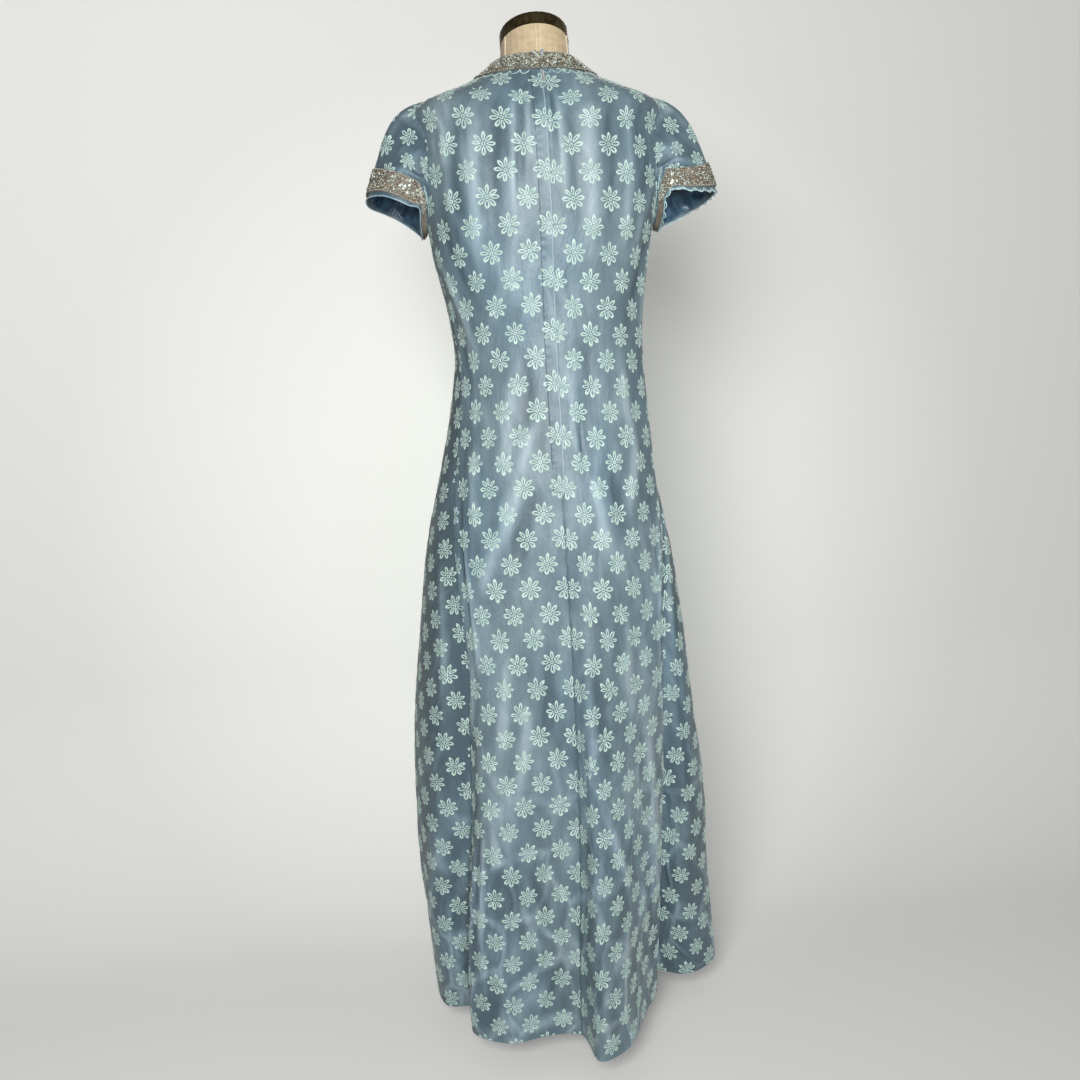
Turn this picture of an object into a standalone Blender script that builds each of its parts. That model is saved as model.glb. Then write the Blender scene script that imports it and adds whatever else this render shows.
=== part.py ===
"""A full-length A-line evening dress with cap sleeves and beaded trims, worn by a limbless dress form.

Metres, +Z up. The origin is the middle of the stand's underside, on the floor. The back of the dress
faces -Y, its front faces +Y and the wearer's right is +X.

The body of the dress is one closed surface, cut into a front and two backs. A place on it is given by
a column, counted along the fold lines round the dress from the centre back, and a height.
"""

import math
from collections import namedtuple

import bmesh
import bpy
import numpy as np

CLOTH = 0.0016  # wall of the shell cloth, its sheer layer and its backing together
LINING = 0.0010
TRIM = 0.0020  # beaded braid
SEAM = 0.0003  # gap between sewn pieces
COLUMNS_PER_FOLD = 3

# The sections of the worn dress, from the hem up: heights at the centre back, sides and centre front,
# half widths at the wearer's left and right, depths of back and front, and how square the section is.
Section = namedtuple("Section", "name z_back z_side z_front left right back front square")
DRESS = [
    Section("hem", 0.050, 0.050, 0.050, 0.221, 0.245, 0.190, 0.215, 2.5),
    Section("shin", 0.200, 0.200, 0.200, 0.230, 0.234, 0.187, 0.207, 2.5),
    Section("calf", 0.350, 0.350, 0.350, 0.234, 0.226, 0.182, 0.198, 2.5),
    Section("knee", 0.500, 0.500, 0.500, 0.227, 0.212, 0.174, 0.186, 2.5),
    Section("thigh", 0.650, 0.650, 0.650, 0.209, 0.194, 0.164, 0.172, 2.5),
    Section("seat", 0.800, 0.800, 0.800, 0.186, 0.176, 0.153, 0.156, 2.4),
    Section("hip", 0.900, 0.900, 0.900, 0.161, 0.157, 0.143, 0.143, 2.4),
    Section("high hip", 0.980, 0.980, 0.980, 0.143, 0.146, 0.130, 0.131, 2.3),
    Section("waist", 1.070, 1.070, 1.070, 0.132, 0.140, 0.117, 0.122, 2.3),
    Section("ribs", 1.140, 1.140, 1.140, 0.141, 0.143, 0.118, 0.133, 2.3),
    Section("bust", 1.195, 1.195, 1.195, 0.154, 0.150, 0.122, 0.143, 2.3),
    Section("underarm", 1.232, 1.232, 1.232, 0.159, 0.157, 0.124, 0.139, 2.3),
    Section("chest", 1.290, 1.290, 1.290, 0.166, 0.166, 0.122, 0.120, 2.3),
    Section("yoke", 1.352, 1.350, 1.330, 0.165, 0.165, 0.112, 0.104, 2.2),
    Section("shoulder", 1.402, 1.405, 1.356, 0.150, 0.150, 0.090, 0.097, 2.1),
    Section("neck base", 1.429, 1.427, 1.368, 0.087, 0.087, 0.067, 0.088, 2.0),
    Section("neckline", 1.452, 1.451, 1.388, 0.052, 0.052, 0.056, 0.070, 2.0),
]
UNDERARM = 1.232  # height where the side seam meets the armhole
SHOULDER = 1.405  # height of the shoulder point, where the sleeve head is sewn in
NECK_BASE = 1.427
# Heights of the rows of points up the sides of the dress
SKIRT_ROWS = [0.050, 0.130, 0.215, 0.305, 0.395, 0.485, 0.575, 0.660, 0.740, 0.815, 0.880]
BODICE_ROWS = [0.930, 0.980, 1.030, 1.080, 1.130, 1.180, 1.210]
ARMHOLE_ROWS = [UNDERARM, 1.252, 1.275, 1.300, 1.325, 1.350, 1.373, 1.392, SHOULDER]
NECK_ROWS = [1.417, NECK_BASE, 1.439, 1.451]
ROWS = SKIRT_ROWS + BODICE_ROWS + ARMHOLE_ROWS + NECK_ROWS

# The fold lines from the centre back round by the wearer's right: the angle from the centre back
# at which each runs down the bodice, its angles at the hip and the knee, where it meets the hem, and the
# height at which it opens.
Fold = namedtuple("Fold", "name bodice_angle hip_angle knee_angle hem_x hem_y opens")
FOLDS = [
    Fold("centre back seam", 0, 0, 0.5, -0.004, -0.190, 0.98),
    Fold("centre flute", 10, 10, 3, 0.016, -0.247, 0.92),
    Fold("flute's flank", 26, 26, 9, 0.060, -0.228, 0.92),
    Fold("right back hollow", 46, 46, 24, 0.104, -0.152, 0.90),
    Fold("right back edge", 70, 68, 46, 0.132, -0.100, 0.98),
    Fold("right side seam", 88, 86, 65, 0.120, -0.050, 1.00),
    Fold("right side roll", 98, 97, 70, 0.188, -0.076, 1.00),
    Fold("right side", 110, 110, 86, 0.245, -0.034, 0.98),
    Fold("right front turn", 122, 122, 102, 0.232, 0.056, 0.90),
    Fold("right front ridge", 134, 134, 129, 0.194, 0.146, 0.86),
    Fold("right front trough", 144, 144, 141, 0.138, 0.142, 0.86),
    Fold("front flute right", 156, 156, 163, 0.090, 0.212, 0.82),
    Fold("front hollow right", 168, 168, 173, 0.036, 0.178, 0.84),
    Fold("front flute", 182, 182, 182, -0.018, 0.226, 0.82),
    Fold("front hollow left", 196, 196, 196, -0.070, 0.180, 0.84),
    Fold("front flute left", 210, 211, 208, -0.124, 0.204, 0.82),
    Fold("left front trough", 222, 226, 230, -0.150, 0.128, 0.88),
    Fold("left front ridge", 236, 244, 250, -0.203, 0.100, 0.88),
    Fold("left side", 250, 264, 277, -0.221, 0.010, 0.98),
    Fold("left side roll", 262, 282, 303, -0.206, -0.092, 1.00),
    Fold("left side seam", 272, 297, 321, -0.160, -0.104, 1.00),
    Fold("left back edge", 290, 312, 330, -0.166, -0.160, 1.00),
    Fold("left back", 312, 328, 341, -0.112, -0.192, 0.95),
    Fold("left back hollow", 338, 344, 350, -0.058, -0.184, 0.95),
]
RIGHT_SEAM = 5
LEFT_SEAM = 20
FOLD_GROWTH = 1.15  # how the folds deepen down the skirt, 1 being evenly
HIP_FROM, HIP_TO = 1.215, 0.930  # heights between which the fold lines swing to their hip places
KNEE_FROM, KNEE_TO = 0.975, 0.580  # heights between which they swing on to their knee places
HEM_FROM = 0.480  # height from which they swing on to their hem places

ARMHOLE_DEPTH_ANGLE = 23  # how far round the armhole's back and front edges lie from the side
ARMHOLE_ROUNDNESS = 0.55
ZIP_BOTTOM = 0.880
# The lap's stitched side and its folded edge, across the back, at the top and at the bottom
ZIP_LAP_TOP, ZIP_LAP_BOTTOM = (-0.0155, 0.0010), (-0.0120, 0.0050)
ZIP_TAPE, TAPE_WALL = 0.026, 0.0010
SLIDER_WIDTH, SLIDER_WALL = 0.0024, 0.0012
SLIDER_HEIGHTS = (1.4120, 1.4245)

# The sleeve hems from the underarm round by the back, in sixteenths of a turn: the place across and the
# height of the wearer's right and left hem, and the depth of both
SleeveHem = namedtuple("SleeveHem", "turn right_x right_z left_x left_z y")
SLEEVE_HEM = [
    SleeveHem(0, 0.168, 1.225, 0.168, 1.225, -0.002),
    SleeveHem(1, 0.168, 1.243, 0.169, 1.243, -0.038),
    SleeveHem(2, 0.168, 1.268, 0.169, 1.262, -0.055),
    SleeveHem(3, 0.181, 1.277, 0.182, 1.266, -0.061),
    SleeveHem(4, 0.197, 1.275, 0.197, 1.273, -0.062),
    SleeveHem(5, 0.215, 1.274, 0.213, 1.279, -0.058),
    SleeveHem(6, 0.234, 1.274, 0.227, 1.281, -0.045),
    SleeveHem(7, 0.247, 1.275, 0.238, 1.280, -0.025),
    SleeveHem(8, 0.252, 1.275, 0.242, 1.277, 0.000),
    SleeveHem(9, 0.251, 1.270, 0.241, 1.273, 0.025),
    SleeveHem(10, 0.245, 1.263, 0.235, 1.270, 0.045),
    SleeveHem(11, 0.232, 1.255, 0.221, 1.265, 0.058),
    SleeveHem(12, 0.215, 1.246, 0.204, 1.257, 0.062),
    SleeveHem(13, 0.199, 1.239, 0.189, 1.247, 0.057),
    SleeveHem(14, 0.184, 1.233, 0.178, 1.238, 0.045),
    SleeveHem(15, 0.172, 1.229, 0.170, 1.230, 0.026),
]
SLEEVE_ROW_SHARES = [0.0, 0.2, 0.4, 0.6, 0.8, 1.0]  # shares of the way from the armhole to the braid
BRAID_TOP, BRAID_FOOT = 0.030, 0.004  # how far the braid's edges lie from the sleeve's hem
BRAID_TOP_MOST, BRAID_FOOT_MOST = 0.60, 0.12  # and at most, as shares of the sleeve's length
LINING_ROWS = slice(2, 8)
CUFF_ROWS = slice(5, 8)

# The dress form's torso from its flat bottom up: heights at back, sides and front, its half sizes,
# and how its rings bend between those heights, 1 being a flat leaning ring
FormSection = namedtuple("FormSection", "name z_back z_side z_front half back front square bend")
FORM = [
    FormSection("bottom", 0.740, 0.740, 0.740, 0.146, 0.112, 0.108, 2.3, 1.5),
    FormSection("bottom edge", 0.748, 0.748, 0.748, 0.151, 0.118, 0.113, 2.3, 1.5),
    FormSection("seat", 0.820, 0.820, 0.820, 0.158, 0.130, 0.118, 2.3, 1.5),
    FormSection("hip", 0.890, 0.890, 0.890, 0.148, 0.122, 0.112, 2.3, 1.5),
    FormSection("high hip", 0.970, 0.970, 0.970, 0.129, 0.103, 0.103, 2.2, 1.5),
    FormSection("waist", 1.060, 1.060, 1.060, 0.115, 0.088, 0.097, 2.2, 1.5),
    FormSection("ribs", 1.120, 1.120, 1.120, 0.124, 0.096, 0.109, 2.2, 1.5),
    FormSection("bust", 1.190, 1.190, 1.190, 0.140, 0.108, 0.130, 2.2, 1.5),
    FormSection("underarm", 1.240, 1.240, 1.240, 0.148, 0.112, 0.124, 2.2, 1.5),
    FormSection("chest", 1.290, 1.290, 1.290, 0.151, 0.111, 0.108, 2.2, 1.5),
    FormSection("yoke", 1.350, 1.347, 1.328, 0.151, 0.103, 0.093, 2.2, 1.5),
    FormSection("shoulder end", 1.384, 1.386, 1.344, 0.149, 0.092, 0.090, 2.1, 1.5),
    FormSection("shoulder", 1.400, 1.4022, 1.352, 0.145, 0.086, 0.088, 2.1, 1.5),
    FormSection("neck base", 1.429, 1.4243, 1.364, 0.085, 0.061, 0.078, 2.0, 1.5),
    FormSection("neck root", 1.447, 1.444, 1.400, 0.0500, 0.050, 0.056, 2.0, 1.5),
    FormSection("neck", 1.470, 1.458, 1.440, 0.0472, 0.047, 0.048, 2.0, 1.0),
    FormSection("neck top", 1.4890, 1.4710, 1.4530, 0.0462, 0.046, 0.046, 2.0, 1.0),
]
FORM_COLUMNS = 32
CAP_HEIGHT = 0.018
CAP_LEAN = math.radians(21)
CAP_BEVEL = 0.003
POLE_RADIUS = 0.0125
BASE_RADIUS = 0.118
BASE_EDGE = 0.010
BASE_TOP = 0.018
BOSS_RADIUS = 0.024
BOSS_TOP = 0.034

# Material name: colour, roughness, metallic
FINISHES = {
    "floral_cloth": ((0.300, 0.420, 0.470), 0.45, 0.0),
    "blue_lining": ((0.060, 0.160, 0.260), 0.35, 0.0),
    "beaded_braid": ((0.420, 0.390, 0.320), 0.30, 0.4),
    "zip_tape": ((0.180, 0.300, 0.360), 0.80, 0.0),
    "zip_metal": ((0.800, 0.790, 0.740), 0.25, 1.0),
    "linen_cover": ((0.720, 0.560, 0.380), 0.85, 0.0),
    "aged_brass": ((0.140, 0.100, 0.050), 0.30, 1.0),
    "steel_pole": ((0.550, 0.550, 0.550), 0.30, 1.0),
    "black_iron": ((0.030, 0.030, 0.032), 0.50, 0.5),
}


def clear_scene():
    for thing in list(bpy.data.objects):
        bpy.data.objects.remove(thing)


def smooth_step(value):
    value = np.clip(value, 0.0, 1.0)
    return value * value * (3.0 - 2.0 * value)


def read_table(table, key, at):
    """Each numeric column of a table, read smoothly at the given values of the key column."""
    keys = np.array([getattr(row, key) for row in table])
    at = np.clip(at, keys[0], keys[-1])
    place = np.clip(np.searchsorted(keys, at, side="right") - 1, 0, len(keys) - 2)
    span = keys[place + 1] - keys[place]
    part = (at - keys[place]) / span
    found = {}
    for column in table[0]._fields[1:]:
        values = np.array([getattr(row, column) for row in table])
        slopes = np.gradient(values, keys)
        start, end = values[place], values[place + 1]
        lead, trail = slopes[place] * span, slopes[place + 1] * span
        found[column] = (
            (2 * part**3 - 3 * part**2 + 1) * start
            + (part**3 - 2 * part**2 + part) * lead
            + (3 * part**2 - 2 * part**3) * end
            + (part**3 - part**2) * trail
        )
    return found


def section_point(row, angle, left, right):
    """The point of a section at an angle from the centre back, as three arrays."""
    sine, cosine = np.sin(angle), np.cos(angle)
    power = 2.0 / row["square"]
    half = np.where(sine > 0, right, left)
    depth = np.where(cosine > 0, row["back"], row["front"])
    x = half * np.sign(sine) * np.abs(sine) ** power
    y = -depth * np.sign(cosine) * np.abs(cosine) ** power
    end_height = np.where(cosine > 0, row["z_back"], row["z_front"])
    z = row["z_side"] + (end_height - row["z_side"]) * np.abs(cosine) ** row.get("bend", 1.5)
    return x, y, z


def fold_reach(fold):
    """(angle in degrees, stretch) of a fold at the hem: its direction, and its distance over the plain section's."""
    hem = DRESS[0]
    half = hem.right if fold.hem_x > 0 else hem.left
    depth = hem.back if fold.hem_y < 0 else hem.front
    across, along = abs(fold.hem_x) / half, abs(fold.hem_y) / depth
    stretch = (across**hem.square + along**hem.square) ** (1 / hem.square)
    power = hem.square / 2.0
    sine = math.copysign((across / stretch) ** power, fold.hem_x)
    cosine = math.copysign((along / stretch) ** power, -fold.hem_y)
    return math.degrees(math.atan2(sine, cosine)) % 360, stretch


def fold_lines(height):
    """The points where the fold lines cross the level of each height, as (heights, folds, 3)."""
    row = read_table(DRESS, "z_side", height)
    at_hip = 1.0 - smooth_step((height - HIP_TO) / (HIP_FROM - HIP_TO))
    at_knee = 1.0 - smooth_step((height - KNEE_TO) / (KNEE_FROM - KNEE_TO))
    at_hem = 1.0 - smooth_step((height - ROWS[0]) / (HEM_FROM - ROWS[0]))
    lines = []
    for number, fold in enumerate(FOLDS):
        hem_angle, stretch = fold_reach(fold)
        if number == 0 and hem_angle > 180:
            hem_angle -= 360
        angle = fold.bodice_angle + (fold.hip_angle - fold.bodice_angle) * at_hip
        angle = angle + (fold.knee_angle - angle) * at_knee
        angle = np.radians(angle + (hem_angle - angle) * at_hem)
        depth = np.clip((fold.opens - height) / (fold.opens - DRESS[0].z_side), 0, 1) ** FOLD_GROWTH
        factor = 1.0 + (stretch - 1.0) * depth
        x, y, z = section_point(row, angle, row["left"], row["right"])
        lines.append(np.stack([x * factor, y * factor, z], axis=-1))
    return np.stack(lines, axis=-2)


def body_point(column, height):
    """Points of the dress's outer face. The two arrays have the same shape."""
    column, height = np.broadcast_arrays(np.asarray(column, float), np.asarray(height, float))
    shape = column.shape
    column, height = column.ravel(), height.ravel()
    lines = fold_lines(height)
    count = len(FOLDS)
    number = np.floor(column).astype(int)
    part = (column - number)[:, None]
    pick = np.arange(len(column))
    before, start, end, after = (lines[pick, (number + step) % count] for step in (-1, 0, 1, 2))
    first = np.sqrt(np.linalg.norm(start - before, axis=1))[:, None]
    middle = np.sqrt(np.linalg.norm(end - start, axis=1))[:, None]
    last = np.sqrt(np.linalg.norm(after - end, axis=1))[:, None]
    lead = ((start - before) / first * middle + (end - start) / middle * first) / (first + middle)
    trail = ((end - start) / middle * last + (after - end) / last * middle) / (middle + last)
    points = (
        (2 * part**3 - 3 * part**2 + 1) * start
        + (part**3 - 2 * part**2 + part) * lead * middle
        + (3 * part**2 - 2 * part**3) * end
        + (part**3 - part**2) * trail * middle
    )
    return points.reshape(*shape, 3)


def body_slopes(column, height):
    """How the outer face runs along the columns and up the heights, and its outward normal."""
    small = 1e-3
    across = (body_point(column + small, height) - body_point(column - small, height)) / (2 * small)
    low = np.maximum(height - small, ROWS[0])
    high = np.minimum(height + small, ROWS[-1])
    up = body_point(column, high) - body_point(column, low)
    normal = np.cross(across, up)
    normal /= np.linalg.norm(normal, axis=-1, keepdims=True)
    return across, up, normal


def column_at_angle(angle):
    """The column that lies at an angle from the centre back on the bodice."""
    angles = [fold.bodice_angle for fold in FOLDS] + [360]
    return np.interp(angle, angles, range(len(angles)))


def armhole_angles(height):
    """How far the armhole's edges lie from the side seam's line at each height, in degrees."""
    share = np.clip((height - UNDERARM) / (SHOULDER - UNDERARM), 0, 1)
    return ARMHOLE_DEPTH_ANGLE * np.sin(math.pi * share) ** ARMHOLE_ROUNDNESS


def side_edges(heights, toward_back):
    """Columns of a panel's edge at the wearer's right: side seam, armhole, then shoulder seam."""
    sign = -1 if toward_back else 1
    line = np.where(heights <= UNDERARM, 88.0, 88.0 + 2.0 * (heights - UNDERARM) / (SHOULDER - UNDERARM))
    line = np.minimum(line, 90.0)
    return column_at_angle(line + sign * armhole_angles(heights))


def left_side_edges(heights, toward_back):
    sign = 1 if toward_back else -1
    line = np.where(heights <= UNDERARM, 272.0, 272.0 - 2.0 * (heights - UNDERARM) / (SHOULDER - UNDERARM))
    line = np.maximum(line, 270.0)
    return column_at_angle(line + sign * armhole_angles(heights))


def half_gap(columns, heights, gap=SEAM):
    """Half a seam gap, in columns."""
    across, _, _ = body_slopes(columns, heights)
    return gap / 2 / np.linalg.norm(across, axis=-1)


def panel_columns(first_edge, last_edge, heights, count):
    """A grid of columns between two edges, half a seam gap in from each."""
    start = first_edge + half_gap(first_edge, heights)
    end = last_edge - half_gap(last_edge, heights)
    share = np.linspace(0, 1, count + 1)
    return start[:, None] + (end - start)[:, None] * share[None, :]


def build_mesh(name, points, faces, material):
    mesh = bpy.data.meshes.new(name)
    mesh.from_pydata([tuple(p) for p in points], [], faces)
    mesh.update()
    builder = bmesh.new()
    builder.from_mesh(mesh)
    bmesh.ops.recalc_face_normals(builder, faces=builder.faces)
    builder.to_mesh(mesh)
    builder.free()
    mesh.shade_smooth()
    mesh.set_sharp_from_angle(angle=math.radians(50))
    mesh.materials.append(material)
    thing = bpy.data.objects.new(name, mesh)
    bpy.data.collections["maxi_dress"].objects.link(thing)
    return thing


def wall(name, outer, inner, material, closed=False):
    """A cloth wall between two grids of points, (rows, columns, 3). A closed one joins its last column to its first."""
    rows, columns = outer.shape[:2]
    points = np.concatenate([outer.reshape(-1, 3), inner.reshape(-1, 3)])
    inside = rows * columns
    spans = columns if closed else columns - 1

    def at(row, column, layer=0):
        return layer * inside + row * columns + column % columns

    faces = []
    for row in range(rows - 1):
        for column in range(spans):
            for corners in ([(0, 0), (0, 1), (1, 1)], [(0, 0), (1, 1), (1, 0)]):
                faces.append([at(row + r, column + c) for r, c in corners])
                faces.append([at(row + r, column + c, 1) for r, c in reversed(corners)])
    for row in (0, rows - 1):
        for column in range(spans):
            faces.append([at(row, column), at(row, column, 1), at(row, column + 1, 1), at(row, column + 1)])
    if not closed:
        for column in (0, columns - 1):
            for row in range(rows - 1):
                faces.append([at(row, column), at(row + 1, column), at(row + 1, column, 1), at(row, column, 1)])
    return build_mesh(name, points, faces, material)


def cloth_on_body(name, columns, heights, material, lift=0.0, thickness=CLOTH):
    """A wall on the dress's surface, its outer face lifted off that surface."""
    levels = np.broadcast_to(heights[:, None], columns.shape)
    surface = body_point(columns, levels)
    _, _, normal = body_slopes(columns, levels)
    outer = surface + normal * lift
    inner = outer - normal * thickness
    return wall(name, outer, inner, material)


def make_body_panels(material):
    heights = np.array(ROWS)
    whole_round = len(FOLDS)
    middle_back = np.zeros_like(heights)
    right_back = panel_columns(middle_back, side_edges(heights, True), heights, COLUMNS_PER_FOLD * RIGHT_SEAM)
    front_folds = LEFT_SEAM - RIGHT_SEAM
    front = panel_columns(
        side_edges(heights, False), left_side_edges(heights, False), heights, COLUMNS_PER_FOLD * front_folds - 5
    )
    left_folds = whole_round - LEFT_SEAM
    left_back = panel_columns(
        left_side_edges(heights, True), middle_back + whole_round, heights, COLUMNS_PER_FOLD * left_folds
    )
    cloth_on_body("back_right", right_back, heights, material)
    cloth_on_body("front", front, heights, material)
    cloth_on_body("back_left", left_back, heights, material)
    return right_back, front, left_back


def make_neck_band(panels, material):
    """The beaded braid round the neckline, open at the centre back."""
    heights = np.array([NECK_BASE, 1.439, 1.451])
    first = ROWS.index(NECK_BASE)
    columns = np.concatenate([panel[first : first + 3] for panel in panels], axis=1)
    cloth_on_body("neck_band", columns, heights, material, lift=SEAM + TRIM, thickness=TRIM)


def column_at_x(x, height):
    """The back column where the bodice lies at x."""
    columns = np.linspace(-2.0, 2.0, 401)
    across = body_point(columns, np.full_like(columns, height))[:, 0]
    return float(np.interp(x, across, columns))


def lap_edges(height):
    """How far across the back the lap's stitched side and its folded edge lie at a height."""
    share = (height - ZIP_BOTTOM) / (NECK_BASE - ZIP_BOTTOM)
    return [low + (high - low) * share for low, high in zip(ZIP_LAP_BOTTOM, ZIP_LAP_TOP)]


def make_zip_lap(material):
    """The lap of cloth that covers the zip, from the beaded braid down to the seat."""
    top = NECK_BASE - 0.0008
    heights = np.array([h for h in ROWS if ZIP_BOTTOM <= h < top] + [top])
    columns = np.array([[column_at_x(x, height) for x in np.linspace(*lap_edges(height), 4)] for height in heights])
    cloth_on_body("zip_lap", columns, heights, material, lift=SEAM + LINING, thickness=LINING)


def make_zip(tape_cloth, metal):
    """The tape inside the back, and the end of the slider, which shows beside the lap."""
    heights = np.array([h for h in ROWS if ZIP_BOTTOM <= h <= NECK_BASE])
    across = np.linspace(-ZIP_TAPE / 2, ZIP_TAPE / 2, 5)
    columns = np.array([[column_at_x(x, height) for x in across] for height in heights])
    cloth_on_body("zip_tape", columns, heights, tape_cloth, lift=-CLOTH - SEAM, thickness=TAPE_WALL)

    heights = np.linspace(*SLIDER_HEIGHTS, 5)
    across = np.linspace(SEAM, SEAM + SLIDER_WIDTH, 3)
    columns = np.array([[column_at_x(lap_edges(height)[1] + x, height) for x in across] for height in heights])
    cloth_on_body("zip_slider", columns, heights, metal, lift=SEAM + SLIDER_WALL, thickness=SLIDER_WALL)


def armhole_loop():
    """Points and body normals round the wearer's right armhole: underarm, back edge, shoulder, front edge."""
    heights = np.array(ARMHOLE_ROWS)
    up_the_back = side_edges(heights, True)
    down_the_front = side_edges(heights, False)[-2:0:-1]
    columns = np.concatenate([up_the_back, down_the_front])
    levels = np.concatenate([heights, heights[-2:0:-1]])
    points = body_point(columns, levels)
    _, _, normal = body_slopes(columns, levels)
    return points, normal


def sleeve_grid(side):
    """(outer points, outward normals) of a sleeve as on the wearer's right, in rows from armhole to hem."""
    start, body_normal = armhole_loop()
    count = len(start)
    centre = start.mean(axis=0)
    along = np.roll(start, -1, axis=0) - np.roll(start, 1, axis=0)
    inward = np.cross(body_normal, along)
    inward /= np.linalg.norm(inward, axis=1, keepdims=True)
    inward *= np.sign(np.sum(inward * (centre - start), axis=1))[:, None]
    start = start + inward * SEAM * 2

    angle = 2 * math.pi * np.arange(count) / count
    end = np.array([(getattr(row, f"{side}_x"), row.y, getattr(row, f"{side}_z")) for row in SLEEVE_HEM])
    headward = ((1 - np.cos(angle)) / 2)[:, None]
    reach = np.linalg.norm(end - start, axis=1)[:, None]
    leave = inward * 0.55 + np.array([0.9, 0, 0.15]) * (1 - 0.5 * headward)
    leave /= np.linalg.norm(leave, axis=1, keepdims=True)
    arrive = np.array([0.80, 0, -0.30]) * (1 - headward) + np.array([0.36, 0, -0.93]) * headward
    first = start + leave * reach * (0.25 + 0.12 * headward)
    second = end - arrive * reach * (0.25 + 0.25 * headward)
    top = 1 - np.minimum(BRAID_TOP / reach, BRAID_TOP_MOST)[None]
    foot = 1 - np.minimum(BRAID_FOOT / reach, BRAID_FOOT_MOST)[None]
    share = np.concatenate([top * np.array(SLEEVE_ROW_SHARES)[:, None, None], (top + foot) / 2, foot, foot * 0 + 1])
    rest = 1 - share
    points = rest**3 * start + 3 * rest**2 * share * first + 3 * rest * share**2 * second + share**3 * end
    round_it = np.roll(points, -1, axis=1) - np.roll(points, 1, axis=1)
    down_it = np.gradient(points, axis=0)
    normal = np.cross(down_it, round_it)
    normal /= np.linalg.norm(normal, axis=-1, keepdims=True)
    outward = points - points.mean(axis=1, keepdims=True)
    normal *= np.sign(np.sum(normal * outward))
    settle = smooth_step(share * 3)
    normal = body_normal[None] * (1 - settle) + normal * settle
    normal /= np.linalg.norm(normal, axis=-1, keepdims=True)
    return points, normal


def make_sleeves(cloth, lining, braid):
    for side, sign in (("right", 1.0), ("left", -1.0)):
        points, normal = sleeve_grid(side)
        mirror = np.array([sign, 1.0, 1.0])
        place, out = points * mirror, normal * mirror
        wall(f"sleeve_{side}", place, place - out * CLOTH, cloth, closed=True)
        lining_out = out[LINING_ROWS]
        inside = place[LINING_ROWS] - lining_out * (CLOTH + SEAM)
        wall(f"sleeve_lining_{side}", inside, inside - lining_out * LINING, lining, closed=True)
        cuff_out = out[CUFF_ROWS]
        cuff = place[CUFF_ROWS] + cuff_out * SEAM
        wall(f"cuff_band_{side}", cuff + cuff_out * TRIM, cuff, braid, closed=True)


def loft_rings(name, rings, material):
    """A closed body through rings of points, with a fan of faces over each end."""
    rings = np.array(rings)
    count, columns = rings.shape[:2]
    points = np.concatenate([rings.reshape(-1, 3), [rings[0].mean(axis=0)], [rings[-1].mean(axis=0)]])
    bottom, top = count * columns, count * columns + 1
    faces = []
    for column in range(columns):
        beside = (column + 1) % columns
        for row in range(count - 1):
            low, high = row * columns, (row + 1) * columns
            faces.append([low + column, low + beside, high + beside, high + column])
        faces.append([bottom, beside, column])
        last = (count - 1) * columns
        faces.append([top, last + column, last + beside])
    return build_mesh(name, points, faces, material)


def make_form(linen, brass, steel, iron):
    angle = 2 * math.pi * np.arange(FORM_COLUMNS) / FORM_COLUMNS
    heights = np.concatenate(
        [
            [0.740, 0.748, 0.785, 0.820, 0.855, 0.890, 0.930, 0.970, 1.015, 1.060, 1.105, 1.150, 1.190],
            [1.220, 1.250, 1.290, 1.320, 1.347, 1.368, 1.386, 1.4022, 1.414, 1.4243, 1.434, 1.444],
            [1.4535, 1.471],
        ]
    )
    rings = []
    for height in heights:
        row = read_table(FORM, "z_side", np.array(height))
        rings.append(np.stack(section_point(row, angle, row["half"], row["half"]), axis=-1))
    loft_rings("form_torso", rings, linen)

    neck = rings[-1]
    lean = np.array([0.0, math.sin(CAP_LEAN), math.cos(CAP_LEAN)])
    middle = neck.mean(axis=0)
    wide = middle + (neck - middle) * 1.015
    foot = wide + lean * SEAM
    crown = middle + (wide - middle) * 0.93
    make_rows = [
        foot,
        wide + lean * (CAP_HEIGHT - CAP_BEVEL),
        middle + (wide - middle) * 0.985 + lean * (CAP_HEIGHT - CAP_BEVEL * 0.4),
        crown + lean * CAP_HEIGHT,
    ]
    loft_rings("neck_cap", make_rows, brass)

    pole_bottom = BOSS_TOP + SEAM
    pole_top = FORM[0].z_side - SEAM
    bpy.ops.mesh.primitive_cylinder_add(vertices=24, radius=POLE_RADIUS, depth=pole_top - pole_bottom)
    pole = bpy.context.object
    pole.name = pole.data.name = "stand_pole"
    pole.location = (0.0, 0.0, (pole_top + pole_bottom) / 2)
    adopt(pole, steel)

    profile = [
        (0.0, BOSS_TOP),
        (BOSS_RADIUS - 0.003, BOSS_TOP),
        (BOSS_RADIUS, BOSS_TOP - 0.003),
        (BOSS_RADIUS + 0.004, BASE_TOP + 0.004),
        (BOSS_RADIUS + 0.016, BASE_TOP),
        (BASE_RADIUS - 0.030, BASE_EDGE + 0.004),
        (BASE_RADIUS - 0.006, BASE_EDGE),
        (BASE_RADIUS, BASE_EDGE - 0.004),
        (BASE_RADIUS, 0.0),
        (0.0, 0.0),
    ]
    adopt(turned("stand_base", profile, 40), iron)


def turned(name, profile, steps):
    """A body turned about Z from a profile of (radius, height), top to bottom."""
    mesh = bpy.data.meshes.new(name)
    edges = [(i, i + 1) for i in range(len(profile) - 1)]
    mesh.from_pydata([(radius, 0.0, height) for radius, height in profile], edges, [])
    thing = bpy.data.objects.new(name, mesh)
    bpy.context.scene.collection.objects.link(thing)
    screw = thing.modifiers.new("Turn", "SCREW")
    screw.steps = screw.render_steps = steps
    screw.use_merge_vertices = True
    screw.merge_threshold = 0.0001
    return thing


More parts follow.
